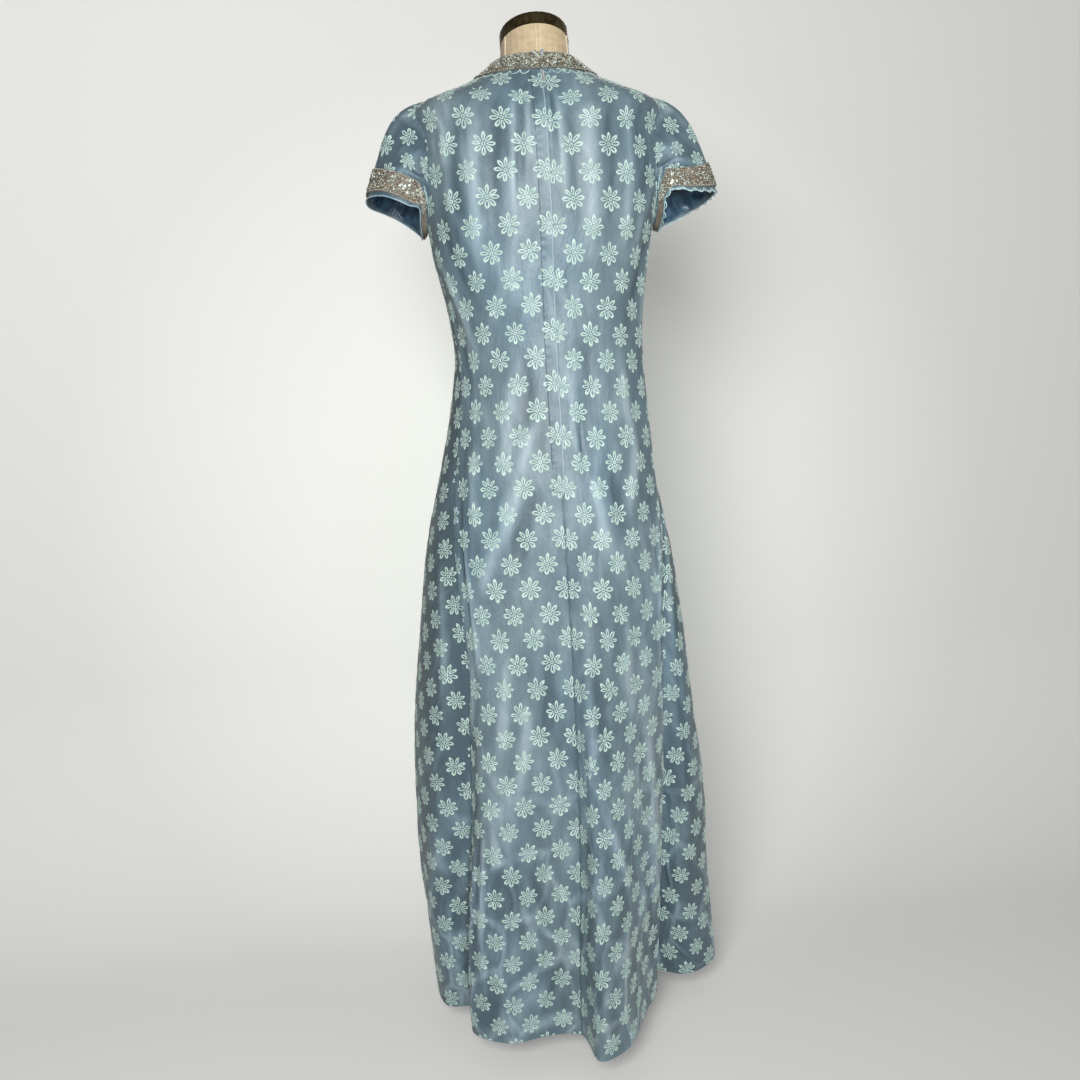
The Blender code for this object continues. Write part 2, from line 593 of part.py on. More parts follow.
def adopt(thing, material):
    """Moves an object into the dress's collection, with its material."""
    for holder in list(thing.users_collection):
        holder.objects.unlink(thing)
    bpy.data.collections["maxi_dress"].objects.link(thing)
    thing.data.materials.append(material)


def make_material(name):
    colour, roughness, metallic = FINISHES[name]
    material = bpy.data.materials.new(name)
    material.use_nodes = True
    shader = material.node_tree.nodes["Principled BSDF"]
    shader.inputs["Base Color"].default_value = (*colour, 1.0)
    shader.inputs["Roughness"].default_value = roughness
    shader.inputs["Metallic"].default_value = metallic
    material.diffuse_color = (*colour, 1.0)
    return material


def main():
    clear_scene()
    bpy.context.scene.collection.children.link(bpy.data.collections.new("maxi_dress"))
    finish = {name: make_material(name) for name in FINISHES}
    panels = make_body_panels(finish["floral_cloth"])
    make_neck_band(panels, finish["beaded_braid"])
    make_zip_lap(finish["floral_cloth"])
    make_zip(finish["zip_tape"], finish["zip_metal"])
    make_sleeves(finish["floral_cloth"], finish["blue_lining"], finish["beaded_braid"])
    make_form(finish["linen_cover"], finish["aged_brass"], finish["steel_pole"], finish["black_iron"])


main()
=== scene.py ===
"""The looks of a maxi dress on a dress form: folded cloth with woven daisies, beaded braid, linen and metal.

Metres, +Z up, in the frame of the CAD model. The back of the dress faces -Y, its front faces +Y and the
wearer's right is +X. The dress's tables and surface are those of the CAD model, read here more finely.
A place on the dress is given by a column, counted along the fold lines round the dress from the centre
back, and a height.
"""

import math
from collections import namedtuple

import bpy
import numpy as np
from mathutils import Matrix, Vector


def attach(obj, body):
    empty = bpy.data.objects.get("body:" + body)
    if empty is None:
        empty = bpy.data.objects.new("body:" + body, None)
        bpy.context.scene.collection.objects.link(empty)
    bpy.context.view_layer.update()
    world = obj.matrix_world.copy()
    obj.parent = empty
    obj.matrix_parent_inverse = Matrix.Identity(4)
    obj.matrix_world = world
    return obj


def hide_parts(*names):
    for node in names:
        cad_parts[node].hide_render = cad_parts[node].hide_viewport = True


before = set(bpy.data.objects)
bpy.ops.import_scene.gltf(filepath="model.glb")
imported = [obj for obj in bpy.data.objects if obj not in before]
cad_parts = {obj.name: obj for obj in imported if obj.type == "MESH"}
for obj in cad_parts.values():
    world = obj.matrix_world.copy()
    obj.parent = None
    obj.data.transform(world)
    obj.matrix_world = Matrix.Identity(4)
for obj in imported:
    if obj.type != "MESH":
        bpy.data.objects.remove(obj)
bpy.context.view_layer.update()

# Walls of the thin shells that are seen, and the gap between sewn pieces
CLOTH, LINING_WALL, BRAID_WALL = 0.0012, 0.0006, 0.0008
LAP_WALL, RIBBON_WALL = 0.0004, 0.0006
SEAM = 0.0003

# The sections of the worn dress, from the hem up: heights at the centre back, sides and centre front,
# half widths at the wearer's left and right, depths of back and front, and how square the section is.
Section = namedtuple("Section", "name z_back z_side z_front left right back front square")
DRESS = [
    Section("hem", 0.050, 0.050, 0.050, 0.221, 0.245, 0.190, 0.215, 2.5),
    Section("shin", 0.200, 0.200, 0.200, 0.230, 0.234, 0.187, 0.207, 2.5),
    Section("calf", 0.350, 0.350, 0.350, 0.234, 0.226, 0.182, 0.198, 2.5),
    Section("knee", 0.500, 0.500, 0.500, 0.227, 0.212, 0.174, 0.186, 2.5),
    Section("thigh", 0.650, 0.650, 0.650, 0.209, 0.194, 0.164, 0.172, 2.5),
    Section("seat", 0.800, 0.800, 0.800, 0.186, 0.176, 0.153, 0.156, 2.4),
    Section("hip", 0.900, 0.900, 0.900, 0.161, 0.157, 0.143, 0.143, 2.4),
    Section("high hip", 0.980, 0.980, 0.980, 0.143, 0.146, 0.130, 0.131, 2.3),
    Section("waist", 1.070, 1.070, 1.070, 0.132, 0.140, 0.117, 0.122, 2.3),
    Section("ribs", 1.140, 1.140, 1.140, 0.141, 0.143, 0.118, 0.133, 2.3),
    Section("bust", 1.195, 1.195, 1.195, 0.154, 0.150, 0.122, 0.143, 2.3),
    Section("underarm", 1.232, 1.232, 1.232, 0.159, 0.157, 0.124, 0.139, 2.3),
    Section("chest", 1.290, 1.290, 1.290, 0.166, 0.166, 0.122, 0.120, 2.3),
    Section("yoke", 1.352, 1.350, 1.330, 0.165, 0.165, 0.112, 0.104, 2.2),
    Section("shoulder", 1.402, 1.405, 1.356, 0.150, 0.150, 0.090, 0.097, 2.1),
    Section("neck base", 1.429, 1.427, 1.368, 0.087, 0.087, 0.067, 0.088, 2.0),
    Section("neckline", 1.452, 1.451, 1.388, 0.052, 0.052, 0.056, 0.070, 2.0),
]
HEM = 0.050
UNDERARM = 1.232  # height where the side seam meets the armhole
SHOULDER = 1.405  # height of the shoulder point, where the sleeve head is sewn in
NECK_BASE = 1.427

# The fold lines from the centre back round by the wearer's right: the angle from the centre back
# at which each runs down the bodice, its angles at the hip and the knee, where it meets the hem, and the
# height at which it opens.
Fold = namedtuple("Fold", "name bodice_angle hip_angle knee_angle hem_x hem_y opens")
FOLDS = [
    Fold("centre back seam", 0, 0, 0.5, -0.004, -0.190, 0.98),
    Fold("centre flute", 10, 10, 3, 0.016, -0.247, 0.92),
    Fold("flute's flank", 26, 26, 9, 0.060, -0.228, 0.92),
    Fold("right back hollow", 46, 46, 24, 0.104, -0.152, 0.90),
    Fold("right back edge", 70, 68, 46, 0.132, -0.100, 0.98),
    Fold("right side seam", 88, 86, 65, 0.120, -0.050, 1.00),
    Fold("right side roll", 98, 97, 70, 0.188, -0.076, 1.00),
    Fold("right side", 110, 110, 86, 0.245, -0.034, 0.98),
    Fold("right front turn", 122, 122, 102, 0.232, 0.056, 0.90),
    Fold("right front ridge", 134, 134, 129, 0.194, 0.146, 0.86),
    Fold("right front trough", 144, 144, 141, 0.138, 0.142, 0.86),
    Fold("front flute right", 156, 156, 163, 0.090, 0.212, 0.82),
    Fold("front hollow right", 168, 168, 173, 0.036, 0.178, 0.84),
    Fold("front flute", 182, 182, 182, -0.018, 0.226, 0.82),
    Fold("front hollow left", 196, 196, 196, -0.070, 0.180, 0.84),
    Fold("front flute left", 210, 211, 208, -0.124, 0.204, 0.82),
    Fold("left front trough", 222, 226, 230, -0.150, 0.128, 0.88),
    Fold("left front ridge", 236, 244, 250, -0.203, 0.100, 0.88),
    Fold("left side", 250, 264, 277, -0.221, 0.010, 0.98),
    Fold("left side roll", 262, 282, 303, -0.206, -0.092, 1.00),
    Fold("left side seam", 272, 297, 321, -0.160, -0.104, 1.00),
    Fold("left back edge", 290, 312, 330, -0.166, -0.160, 1.00),
    Fold("left back", 312, 328, 341, -0.112, -0.192, 0.95),
    Fold("left back hollow", 338, 344, 350, -0.058, -0.184, 0.95),
]
FOLD_GROWTH = 1.15  # how the folds deepen down the skirt, 1 being evenly
HIP_FROM, HIP_TO = 1.215, 0.930  # heights between which the fold lines swing to their hip places
KNEE_FROM, KNEE_TO = 0.975, 0.580  # heights between which they swing on to their knee places
HEM_FROM = 0.480  # height from which they swing on to their hem places

ARMHOLE_DEPTH_ANGLE = 23  # how far round the armhole's back and front edges lie from the side
ARMHOLE_ROUNDNESS = 0.55
NECKLINE = 1.451
ZIP_BOTTOM = 0.880
# The lap's stitched side and its folded edge, across the back, at the top and at the bottom
ZIP_LAP_TOP, ZIP_LAP_BOTTOM = (-0.0155, 0.0010), (-0.0120, 0.0050)

# The sleeves' hems by sixteenths of a turn from the underarm by the back: how far out and how high at the
# wearer's right and left, and how far forward
SleeveHem = namedtuple("SleeveHem", "turn right_x right_z left_x left_z y")
SLEEVE_HEM = [
    SleeveHem(0, 0.168, 1.225, 0.168, 1.225, -0.002),
    SleeveHem(1, 0.168, 1.243, 0.169, 1.243, -0.038),
    SleeveHem(2, 0.168, 1.268, 0.169, 1.262, -0.055),
    SleeveHem(3, 0.181, 1.277, 0.182, 1.266, -0.061),
    SleeveHem(4, 0.197, 1.275, 0.197, 1.273, -0.062),
    SleeveHem(5, 0.215, 1.274, 0.213, 1.279, -0.058),
    SleeveHem(6, 0.234, 1.274, 0.227, 1.281, -0.045),
    SleeveHem(7, 0.247, 1.275, 0.238, 1.280, -0.025),
    SleeveHem(8, 0.252, 1.275, 0.242, 1.277, 0.000),
    SleeveHem(9, 0.251, 1.270, 0.241, 1.273, 0.025),
    SleeveHem(10, 0.245, 1.263, 0.235, 1.270, 0.045),
    SleeveHem(11, 0.232, 1.255, 0.221, 1.265, 0.058),
    SleeveHem(12, 0.215, 1.246, 0.204, 1.257, 0.062),
    SleeveHem(13, 0.199, 1.239, 0.189, 1.247, 0.057),
    SleeveHem(14, 0.184, 1.233, 0.178, 1.238, 0.045),
    SleeveHem(15, 0.172, 1.229, 0.170, 1.230, 0.026),
]
# How far up from the hem the braid begins and ends, and the most that each may be as a share of the way
# to the armhole
BRAID_TOP, BRAID_FOOT = 0.030, 0.004
BRAID_TOP_MOST, BRAID_FOOT_MOST = 0.60, 0.12


def smooth_step(value):
    value = np.clip(value, 0.0, 1.0)
    return value * value * (3.0 - 2.0 * value)


def read_table(table, key, at):
    """Each numeric column of a table, read smoothly at the given values of the key column."""
    keys = np.array([getattr(row, key) for row in table])
    at = np.clip(at, keys[0], keys[-1])
    place = np.clip(np.searchsorted(keys, at, side="right") - 1, 0, len(keys) - 2)
    span = keys[place + 1] - keys[place]
    part = (at - keys[place]) / span
    found = {}
    for column in table[0]._fields[1:]:
        values = np.array([getattr(row, column) for row in table])
        slopes = np.gradient(values, keys)
        start, end = values[place], values[place + 1]
        lead, trail = slopes[place] * span, slopes[place + 1] * span
        found[column] = (
            (2 * part**3 - 3 * part**2 + 1) * start
            + (part**3 - 2 * part**2 + part) * lead
            + (3 * part**2 - 2 * part**3) * end
            + (part**3 - part**2) * trail
        )
    return found


def section_point(row, angle, left, right):
    """The point of a section at an angle from the centre back, as three arrays."""
    sine, cosine = np.sin(angle), np.cos(angle)
    power = 2.0 / row["square"]
    half = np.where(sine > 0, right, left)
    depth = np.where(cosine > 0, row["back"], row["front"])
    x = half * np.sign(sine) * np.abs(sine) ** power
    y = -depth * np.sign(cosine) * np.abs(cosine) ** power
    end_height = np.where(cosine > 0, row["z_back"], row["z_front"])
    z = row["z_side"] + (end_height - row["z_side"]) * np.abs(cosine) ** row.get("bend", 1.5)
    return x, y, z


def fold_reach(fold):
    """(angle in degrees, stretch) of a fold at the hem: its direction, and its distance over that of the
    plain section."""
    hem = DRESS[0]
    half = hem.right if fold.hem_x > 0 else hem.left
    depth = hem.back if fold.hem_y < 0 else hem.front
    across, along = abs(fold.hem_x) / half, abs(fold.hem_y) / depth
    stretch = (across**hem.square + along**hem.square) ** (1 / hem.square)
    power = hem.square / 2.0
    sine = math.copysign((across / stretch) ** power, fold.hem_x)
    cosine = math.copysign((along / stretch) ** power, -fold.hem_y)
    return math.degrees(math.atan2(sine, cosine)) % 360, stretch


def fold_lines(height):
    """The points where the fold lines cross the level of each height, as (heights, folds, 3)."""
    row = read_table(DRESS, "z_side", height)
    at_hip = 1.0 - smooth_step((height - HIP_TO) / (HIP_FROM - HIP_TO))
    at_knee = 1.0 - smooth_step((height - KNEE_TO) / (KNEE_FROM - KNEE_TO))
    at_hem = 1.0 - smooth_step((height - HEM) / (HEM_FROM - HEM))
    lines = []
    for number, fold in enumerate(FOLDS):
        hem_angle, stretch = fold_reach(fold)
        if number == 0 and hem_angle > 180:
            hem_angle -= 360
        angle = fold.bodice_angle + (fold.hip_angle - fold.bodice_angle) * at_hip
        angle = angle + (fold.knee_angle - angle) * at_knee
        angle = np.radians(angle + (hem_angle - angle) * at_hem)
        depth = np.clip((fold.opens - height) / (fold.opens - DRESS[0].z_side), 0, 1) ** FOLD_GROWTH
        factor = 1.0 + (stretch - 1.0) * depth
        x, y, z = section_point(row, angle, row["left"], row["right"])
        lines.append(np.stack([x * factor, y * factor, z], axis=-1))
    return np.stack(lines, axis=-2)


def body_point(column, height):
    """Points of the dress's outer face. The two arrays have the same shape."""
    column, height = np.broadcast_arrays(np.asarray(column, float), np.asarray(height, float))
    shape = column.shape
    column, height = column.ravel(), height.ravel()
    lines = fold_lines(height)
    count = len(FOLDS)
    number = np.floor(column).astype(int)
    part = (column - number)[:, None]
    pick = np.arange(len(column))
    before, start, end, after = (lines[pick, (number + step) % count] for step in (-1, 0, 1, 2))
    first = np.sqrt(np.linalg.norm(start - before, axis=1))[:, None]
    middle = np.sqrt(np.linalg.norm(end - start, axis=1))[:, None]
    last = np.sqrt(np.linalg.norm(after - end, axis=1))[:, None]
    lead = ((start - before) / first * middle + (end - start) / middle * first) / (first + middle)
    trail = ((end - start) / middle * last + (after - end) / last * middle) / (middle + last)
    points = (
        (2 * part**3 - 3 * part**2 + 1) * start
        + (part**3 - 2 * part**2 + part) * lead * middle
        + (3 * part**2 - 2 * part**3) * end
        + (part**3 - part**2) * trail * middle
    )
    return points.reshape(*shape, 3)


def body_slopes(column, height):
    """How the outer face runs along the columns and up the heights, and its outward normal."""
    small = 1e-3
    across = (body_point(column + small, height) - body_point(column - small, height)) / (2 * small)
    low = np.maximum(height - small, HEM)
    high = np.minimum(height + small, NECKLINE)
    up = body_point(column, high) - body_point(column, low)
    normal = np.cross(across, up)
    normal /= np.linalg.norm(normal, axis=-1, keepdims=True)
    return across, up, normal


def column_at_angle(angle):
    """The column that lies at an angle from the centre back on the bodice."""
    angles = [fold.bodice_angle for fold in FOLDS] + [360]
    return np.interp(angle, angles, range(len(angles)))


def armhole_angles(height):
    """How far the armhole's edges lie from the side seam's line at each height, in degrees."""
    share = np.clip((height - UNDERARM) / (SHOULDER - UNDERARM), 0, 1)
    return ARMHOLE_DEPTH_ANGLE * np.sin(math.pi * share) ** ARMHOLE_ROUNDNESS


def side_edges(heights, toward_back):
    """Columns of a panel's edge at the wearer's right: side seam, armhole, then shoulder seam."""
    sign = -1 if toward_back else 1
    line = np.where(heights <= UNDERARM, 88.0, 88.0 + 2.0 * (heights - UNDERARM) / (SHOULDER - UNDERARM))
    line = np.minimum(line, 90.0)
    return column_at_angle(line + sign * armhole_angles(heights))


def left_side_edges(heights, toward_back):
    sign = 1 if toward_back else -1
    line = np.where(heights <= UNDERARM, 272.0, 272.0 - 2.0 * (heights - UNDERARM) / (SHOULDER - UNDERARM))
    line = np.maximum(line, 270.0)
    return column_at_angle(line + sign * armhole_angles(heights))


def half_gap(columns, heights, gap=SEAM):
    """Half a seam gap, in columns."""
    across, _, _ = body_slopes(columns, heights)
    return gap / 2 / np.linalg.norm(across, axis=-1)



def cubic(at, places, values, slopes=None):
    """A smooth curve through values at places, read at given places."""
    if slopes is None:
        slopes = np.gradient(values, places)
    place = np.clip(np.searchsorted(places, at, side="right") - 1, 0, len(places) - 2)
    span = places[place + 1] - places[place]
    part = (at - places[place]) / span
    return (
        (2 * part**3 - 3 * part**2 + 1) * values[place]
        + (part**3 - 2 * part**2 + part) * slopes[place] * span
        + (3 * part**2 - 2 * part**3) * values[place + 1]
        + (part**3 - part**2) * slopes[place + 1] * span
    )


def read_grid(grid, row, column):
    """A grid of points read between its rows and columns."""
    row = np.clip(row, 0, grid.shape[0] - 1.0001)
    column = np.clip(column, 0, grid.shape[1] - 1.0001)
    low, left = row.astype(int), column.astype(int)
    up, across = (row - low)[..., None], (column - left)[..., None]
    bottom = grid[low, left] * (1 - across) + grid[low, left + 1] * across
    top = grid[low + 1, left] * (1 - across) + grid[low + 1, left + 1] * across
    return bottom * (1 - up) + top * up


def grid_normals(points, outward, closed=False):
    """The normals of a grid of points, on the same side as the outward ones."""
    if closed:
        across = np.roll(points, -1, axis=1) - np.roll(points, 1, axis=1)
    else:
        across = np.gradient(points, axis=1)
    normal = np.cross(across, np.gradient(points, axis=0))
    normal /= np.linalg.norm(normal, axis=-1, keepdims=True) + 1e-12
    return normal * np.sign(np.sum(normal * outward, axis=-1, keepdims=True))


def lay_flat(points, passes=900):
    """A grid of cloth laid flat at its true size: each point's place across and up the cloth."""
    flat = np.zeros(points.shape[:2] + (2,))
    middle = points.shape[1] // 2
    across = np.linalg.norm(np.diff(points, axis=1), axis=-1)
    up = np.linalg.norm(np.diff(points, axis=0), axis=-1)
    flat[:, 1:, 0] = np.cumsum(across, axis=1)
    flat[:, :, 0] -= flat[:, middle : middle + 1, 0]
    flat[1:, :, 1] = np.cumsum(up[:, middle])[:, None]
    links = []
    for down, beside in ((0, 1), (1, 0), (1, 1), (1, -1)):
        first = (slice(0, points.shape[0] - down), slice(max(0, -beside), points.shape[1] - max(0, beside)))
        second = (slice(down, None), slice(max(0, beside), points.shape[1] + min(0, beside)))
        links.append((first, second, np.linalg.norm(points[second] - points[first], axis=-1)))
    for _ in range(passes):
        shift = np.zeros_like(flat)
        for first, second, length in links:
            step = flat[second] - flat[first]
            now = np.linalg.norm(step, axis=-1) + 1e-9
            pull = step * ((now - length) / now * 0.19)[..., None]
            shift[first] += pull
            shift[second] -= pull
        flat += shift
    return flat


# A piece of cloth: its grid of points, their outward normals, their places on the flat cloth, and how
# far each lies on a ridge, 1, or in a trough, -1. The cloth's material paints this ridge value as light on
# ridges and shade in troughs, and more painted shade is taken off it in places.
Cloth = namedtuple("Cloth", "points normals flat ridge")

FULL_RIDGE = 0.0018  # how high a crease is where its ridge value is 1
CREASE_UNITS = 700  # of a crease's height to the metre

# The main creases of each piece: the column and height of both ends, half width in millimetres, and how
# high it stands in the units above. One below 0 is a trough.
Crease = namedtuple("Crease", "piece column_a height_a column_b height_b wide high")
CREASES = [
    Crease("back_right", 0.10, 1.425, 0.16, 1.330, 2.5, 1.0),
    Crease("back_right", 0.22, 1.425, 0.34, 1.290, 3.0, -1.1),
    Crease("back_right", 0.45, 1.422, 0.58, 1.250, 5.0, 1.2),
    Crease("back_right", 0.95, 1.418, 1.05, 1.210, 7.0, -1.2),
    Crease("back_right", 1.55, 1.415, 1.50, 1.150, 9.0, 1.6),
    Crease("back_right", 2.15, 1.412, 2.05, 1.190, 8.0, -1.3),
    Crease("back_right", 2.75, 1.405, 2.60, 1.170, 9.0, 1.5),
    Crease("back_right", 3.70, 1.300, 2.80, 1.160, 8.0, 1.3),
    Crease("back_right", 3.85, 1.250, 3.05, 1.090, 7.0, -1.3),
    Crease("back_right", 4.30, 1.225, 3.60, 1.040, 8.0, 1.5),
    Crease("back_right", 4.75, 1.170, 4.10, 0.980, 7.0, -1.2),
    Crease("back_right", 0.85, 0.985, 0.94, 0.890, 2.5, -1.6),
    Crease("back_right", 0.60, 1.060, 0.72, 0.900, 8.0, 1.4),
    Crease("back_right", 1.15, 0.907, 1.95, 0.768, 9.0, 1.9),
    Crease("back_right", 1.75, 0.930, 2.35, 0.800, 9.0, -1.6),
    Crease("back_right", 3.10, 0.960, 2.30, 0.820, 9.0, 1.6),
    Crease("back_right", 1.30, 1.100, 1.50, 0.960, 10.0, -1.2),
    Crease("back_right", 2.60, 1.080, 2.90, 0.900, 10.0, 1.3),
    Crease("back_right", 3.76, 0.880, 4.15, 0.600, 5.0, 2.0),
    Crease("back_right", 3.95, 0.700, 4.40, 0.380, 5.0, 1.8),
    Crease("back_right", 4.20, 0.480, 4.75, 0.150, 5.0, 2.2),
    Crease("back_right", 4.05, 0.820, 4.45, 0.540, 5.0, -1.8),
    Crease("back_right", 4.45, 0.600, 4.85, 0.260, 5.0, -2.0),
    Crease("back_right", 4.45, 0.860, 4.70, 0.700, 6.0, 1.8),
    Crease("back_right", 3.35, 0.560, 3.70, 0.260, 9.0, 2.2),
    Crease("back_right", 3.10, 0.360, 3.55, 0.090, 8.0, -2.0),
    Crease("back_right", 0.15, 0.500, 0.55, 0.455, 4.0, 1.1),
    Crease("back_right", 0.18, 0.470, 0.60, 0.430, 4.0, -1.0),
    Crease("back_right", 0.20, 0.430, 0.75, 0.400, 4.5, 1.2),
    Crease("back_right", 0.25, 0.380, 0.80, 0.345, 4.0, -1.1),
    Crease("back_right", 0.22, 0.340, 0.70, 0.300, 4.5, 1.2),
    Crease("back_right", 1.17, 0.123, 1.60, 0.190, 6.0, 1.8),
    Crease("back_right", 1.17, 0.123, 0.75, 0.180, 5.0, -1.5),
    Crease("back_right", 1.17, 0.123, 1.45, 0.065, 5.0, 1.6),
    Crease("back_right", 1.17, 0.123, 0.85, 0.075, 5.0, -1.4),
    Crease("back_right", 1.80, 0.420, 2.50, 0.250, 8.0, 1.9),
    Crease("back_right", 1.55, 0.640, 1.90, 0.470, 9.0, -1.7),
    Crease("back_right", 2.60, 0.720, 2.95, 0.520, 9.0, 1.8),
    Crease("back_left", 23.85, 1.425, 23.78, 1.340, 2.5, -1.0),
    Crease("back_left", 23.66, 1.420, 23.60, 1.300, 4.0, 1.3),
    Crease("back_left", 23.40, 1.420, 23.28, 1.210, 6.0, 1.7),
    Crease("back_left", 23.52, 1.415, 23.44, 1.250, 5.0, -1.2),
    Crease("back_left", 23.05, 1.415, 22.95, 1.180, 8.0, -1.5),
    Crease("back_left", 22.62, 1.410, 22.40, 1.130, 9.0, 1.8),
    Crease("back_left", 22.25, 1.405, 22.05, 1.200, 7.0, -1.3),
    Crease("back_left", 21.75, 1.386, 21.92, 1.300, 6.0, 1.6),
    Crease("back_left", 21.80, 1.300, 22.35, 1.190, 7.0, 1.4),
    Crease("back_left", 21.40, 1.265, 22.05, 1.130, 7.0, -1.4),
    Crease("back_left", 20.90, 1.215, 21.55, 1.040, 8.0, 1.6),
    Crease("back_left", 20.45, 1.170, 20.95, 0.980, 7.0, -1.3),
    Crease("back_left", 23.20, 1.090, 23.10, 0.930, 9.0, -1.2),
    Crease("back_left", 22.60, 1.050, 22.20, 0.880, 10.0, 1.5),
    Crease("back_left", 23.31, 0.985, 22.75, 0.880, 10.0, 1.8),
    Crease("back_left", 22.90, 0.900, 22.10, 0.790, 11.0, 1.9),
    Crease("back_left", 23.45, 0.900, 22.60, 0.760, 10.0, -1.7),
    Crease("back_left", 22.20, 0.830, 21.20, 0.720, 10.0, 1.8),
    Crease("back_left", 20.90, 0.960, 21.40, 0.800, 8.0, 1.5),
    Crease("back_left", 20.45, 0.905, 20.75, 0.640, 5.0, -2.0),
    Crease("back_left", 20.65, 0.860, 20.95, 0.600, 4.0, 1.8),
    Crease("back_left", 20.40, 0.660, 20.05, 0.500, 7.0, 1.7),
    Crease("back_left", 21.24, 0.420, 21.38, 0.220, 4.0, 2.0),
    Crease("back_left", 21.30, 0.300, 21.50, 0.080, 4.0, 2.2),
    Crease("back_left", 21.05, 0.420, 21.15, 0.130, 5.0, -1.9),
    Crease("back_left", 21.47, 0.420, 21.85, 0.320, 7.0, 1.9),
    Crease("back_left", 21.85, 0.350, 21.55, 0.260, 6.0, -1.5),
    Crease("back_left", 22.35, 0.300, 23.10, 0.175, 7.0, 1.9),
    Crease("back_left", 22.70, 0.340, 23.30, 0.230, 7.0, -1.5),
    Crease("back_left", 22.90, 0.600, 22.40, 0.420, 9.0, 1.8),
    Crease("back_left", 23.55, 0.700, 23.20, 0.480, 9.0, -1.6),
    Crease("back_left", 22.10, 0.680, 21.70, 0.480, 9.0, 1.7),
    Crease("back_left", 23.60, 0.180, 22.90, 0.080, 6.0, -1.6),
    Crease("front", 7.40, 1.200, 8.60, 1.060, 9.0, 1.5),
    Crease("front", 6.60, 1.150, 7.60, 0.980, 8.0, -1.4),
    Crease("front", 8.20, 1.270, 9.60, 1.190, 9.0, 1.5),
    Crease("front", 9.20, 1.300, 10.40, 1.225, 8.0, -1.3),
    Crease("front", 10.60, 1.405, 10.90, 1.280, 8.0, 1.3),
    Crease("front", 12.20, 1.410, 12.10, 1.250, 9.0, 1.2),
    Crease("front", 13.60, 1.412, 13.70, 1.260, 8.0, -1.2),
    Crease("front", 15.10, 1.408, 14.80, 1.270, 9.0, 1.4),
    Crease("front", 17.40, 1.310, 16.10, 1.215, 8.0, 1.5),
    Crease("front", 18.10, 1.250, 16.80, 1.150, 9.0, -1.4),
    Crease("front", 19.20, 1.190, 17.90, 1.030, 9.0, 1.6),
    Crease("front", 11.40, 1.150, 11.80, 0.960, 10.0, -1.3),
    Crease("front", 14.50, 1.130, 14.20, 0.940, 10.0, 1.4),
    Crease("front", 9.30, 1.060, 9.80, 0.890, 10.0, 1.5),
    Crease("front", 16.50, 1.040, 16.00, 0.860, 10.0, -1.5),
    Crease("front", 5.50, 0.900, 5.80, 0.560, 5.0, 1.9),
    Crease("front", 5.80, 0.620, 6.30, 0.280, 5.0, -2.0),
    Crease("front", 6.30, 0.820, 6.90, 0.540, 6.0, 2.0),
    Crease("front", 6.80, 0.500, 7.30, 0.200, 6.0, 2.2),
    Crease("front", 7.60, 0.720, 8.10, 0.420, 8.0, -2.0),
    Crease("front", 8.40, 0.380, 8.90, 0.120, 8.0, 2.1),
    Crease("front", 9.60, 0.640, 10.20, 0.380, 9.0, 1.9),
    Crease("front", 10.60, 0.300, 11.40, 0.140, 8.0, -1.8),
    Crease("front", 11.20, 0.780, 11.90, 0.560, 10.0, 1.8),
    Crease("front", 12.60, 0.460, 13.20, 0.260, 8.0, 1.9),
    Crease("front", 13.90, 0.700, 13.30, 0.500, 10.0, -1.7),
    Crease("front", 14.60, 0.340, 15.30, 0.150, 8.0, 1.9),
    Crease("front", 15.40, 0.760, 15.00, 0.520, 10.0, 1.7),
    Crease("front", 16.60, 0.560, 16.10, 0.300, 8.0, -1.9),
    Crease("front", 17.60, 0.820, 17.20, 0.560, 9.0, 1.9),
    Crease("front", 18.30, 0.420, 18.00, 0.150, 7.0, 2.1),
    Crease("front", 19.30, 0.800, 19.20, 0.520, 6.0, 1.9),
    Crease("front", 19.65, 0.660, 19.45, 0.480, 6.0, -1.8),
    Crease("front", 19.50, 0.360, 19.60, 0.110, 6.0, -2.0),
]


def add_ridge(points, track, wide, high, shift, ridge):
    """Adds one soft ridge or trough along a track of points to a grid's shift and its ridge value, which the
    material paints as light on ridges and shade in troughs.
    """
    low = track.min(axis=0) - 4 * wide
    top = track.max(axis=0) + 4 * wide
    near = np.all((points > low) & (points < top), axis=-1)
    if not near.any():
        return
    place = points[near]
    start, step = track[:-1], np.diff(track, axis=0)
    length = np.sum(step * step, axis=1)
    along = np.einsum("nki,ki->nk", place[:, None] - start[None], step) / length
    along = np.clip(along, 0, 1)
    gap = np.linalg.norm(place[:, None] - start[None] - along[..., None] * step[None], axis=-1)
    nearest = gap.argmin(axis=1)
    pick = np.arange(len(place))
    share = (nearest + along[pick, nearest]) / len(step)
    off = gap[pick, nearest] / wide
    taper = smooth_step(share / 0.3) * smooth_step((1 - share) / 0.4)
    form = (1 - 0.45 * off**2) * np.exp(-(off**2) / 1.7) * taper
    shift[near] += form * high
    ridge[near] += form * high / FULL_RIDGE


def crease_cloth(name, points, normals, seed, closed=False):
    """The points of a piece with its creases, a light unevenness and its ridge value, which the material
    paints as light on ridges and shade in troughs.
    """
    shift = np.zeros(points.shape[:2])
    ridge = np.zeros(points.shape[:2])
    for crease in CREASES:
        if crease.piece != name:
            continue
        columns = np.linspace(crease.column_a, crease.column_b, 12)
        heights = np.linspace(crease.height_a, crease.height_b, 12)
        track = body_point(columns % len(FOLDS), heights)
        add_ridge(points, track, crease.wide / 1000, crease.high / CREASE_UNITS, shift, ridge)
    chance = np.random.default_rng(seed)
    wave = np.zeros(points.shape[:2])
    for _ in range(14):
        swing = chance.normal(size=3) * np.array([42.0, 42.0, 14.0])
        wave += np.sin(points @ swing + chance.uniform(0, 2 * math.pi))
    shift += wave * 0.00012
    ridge += wave * 0.04
    moved = points + normals * shift[..., None]
    return moved, grid_normals(moved, normals, closed), np.clip(ridge, -1.5, 1.5)


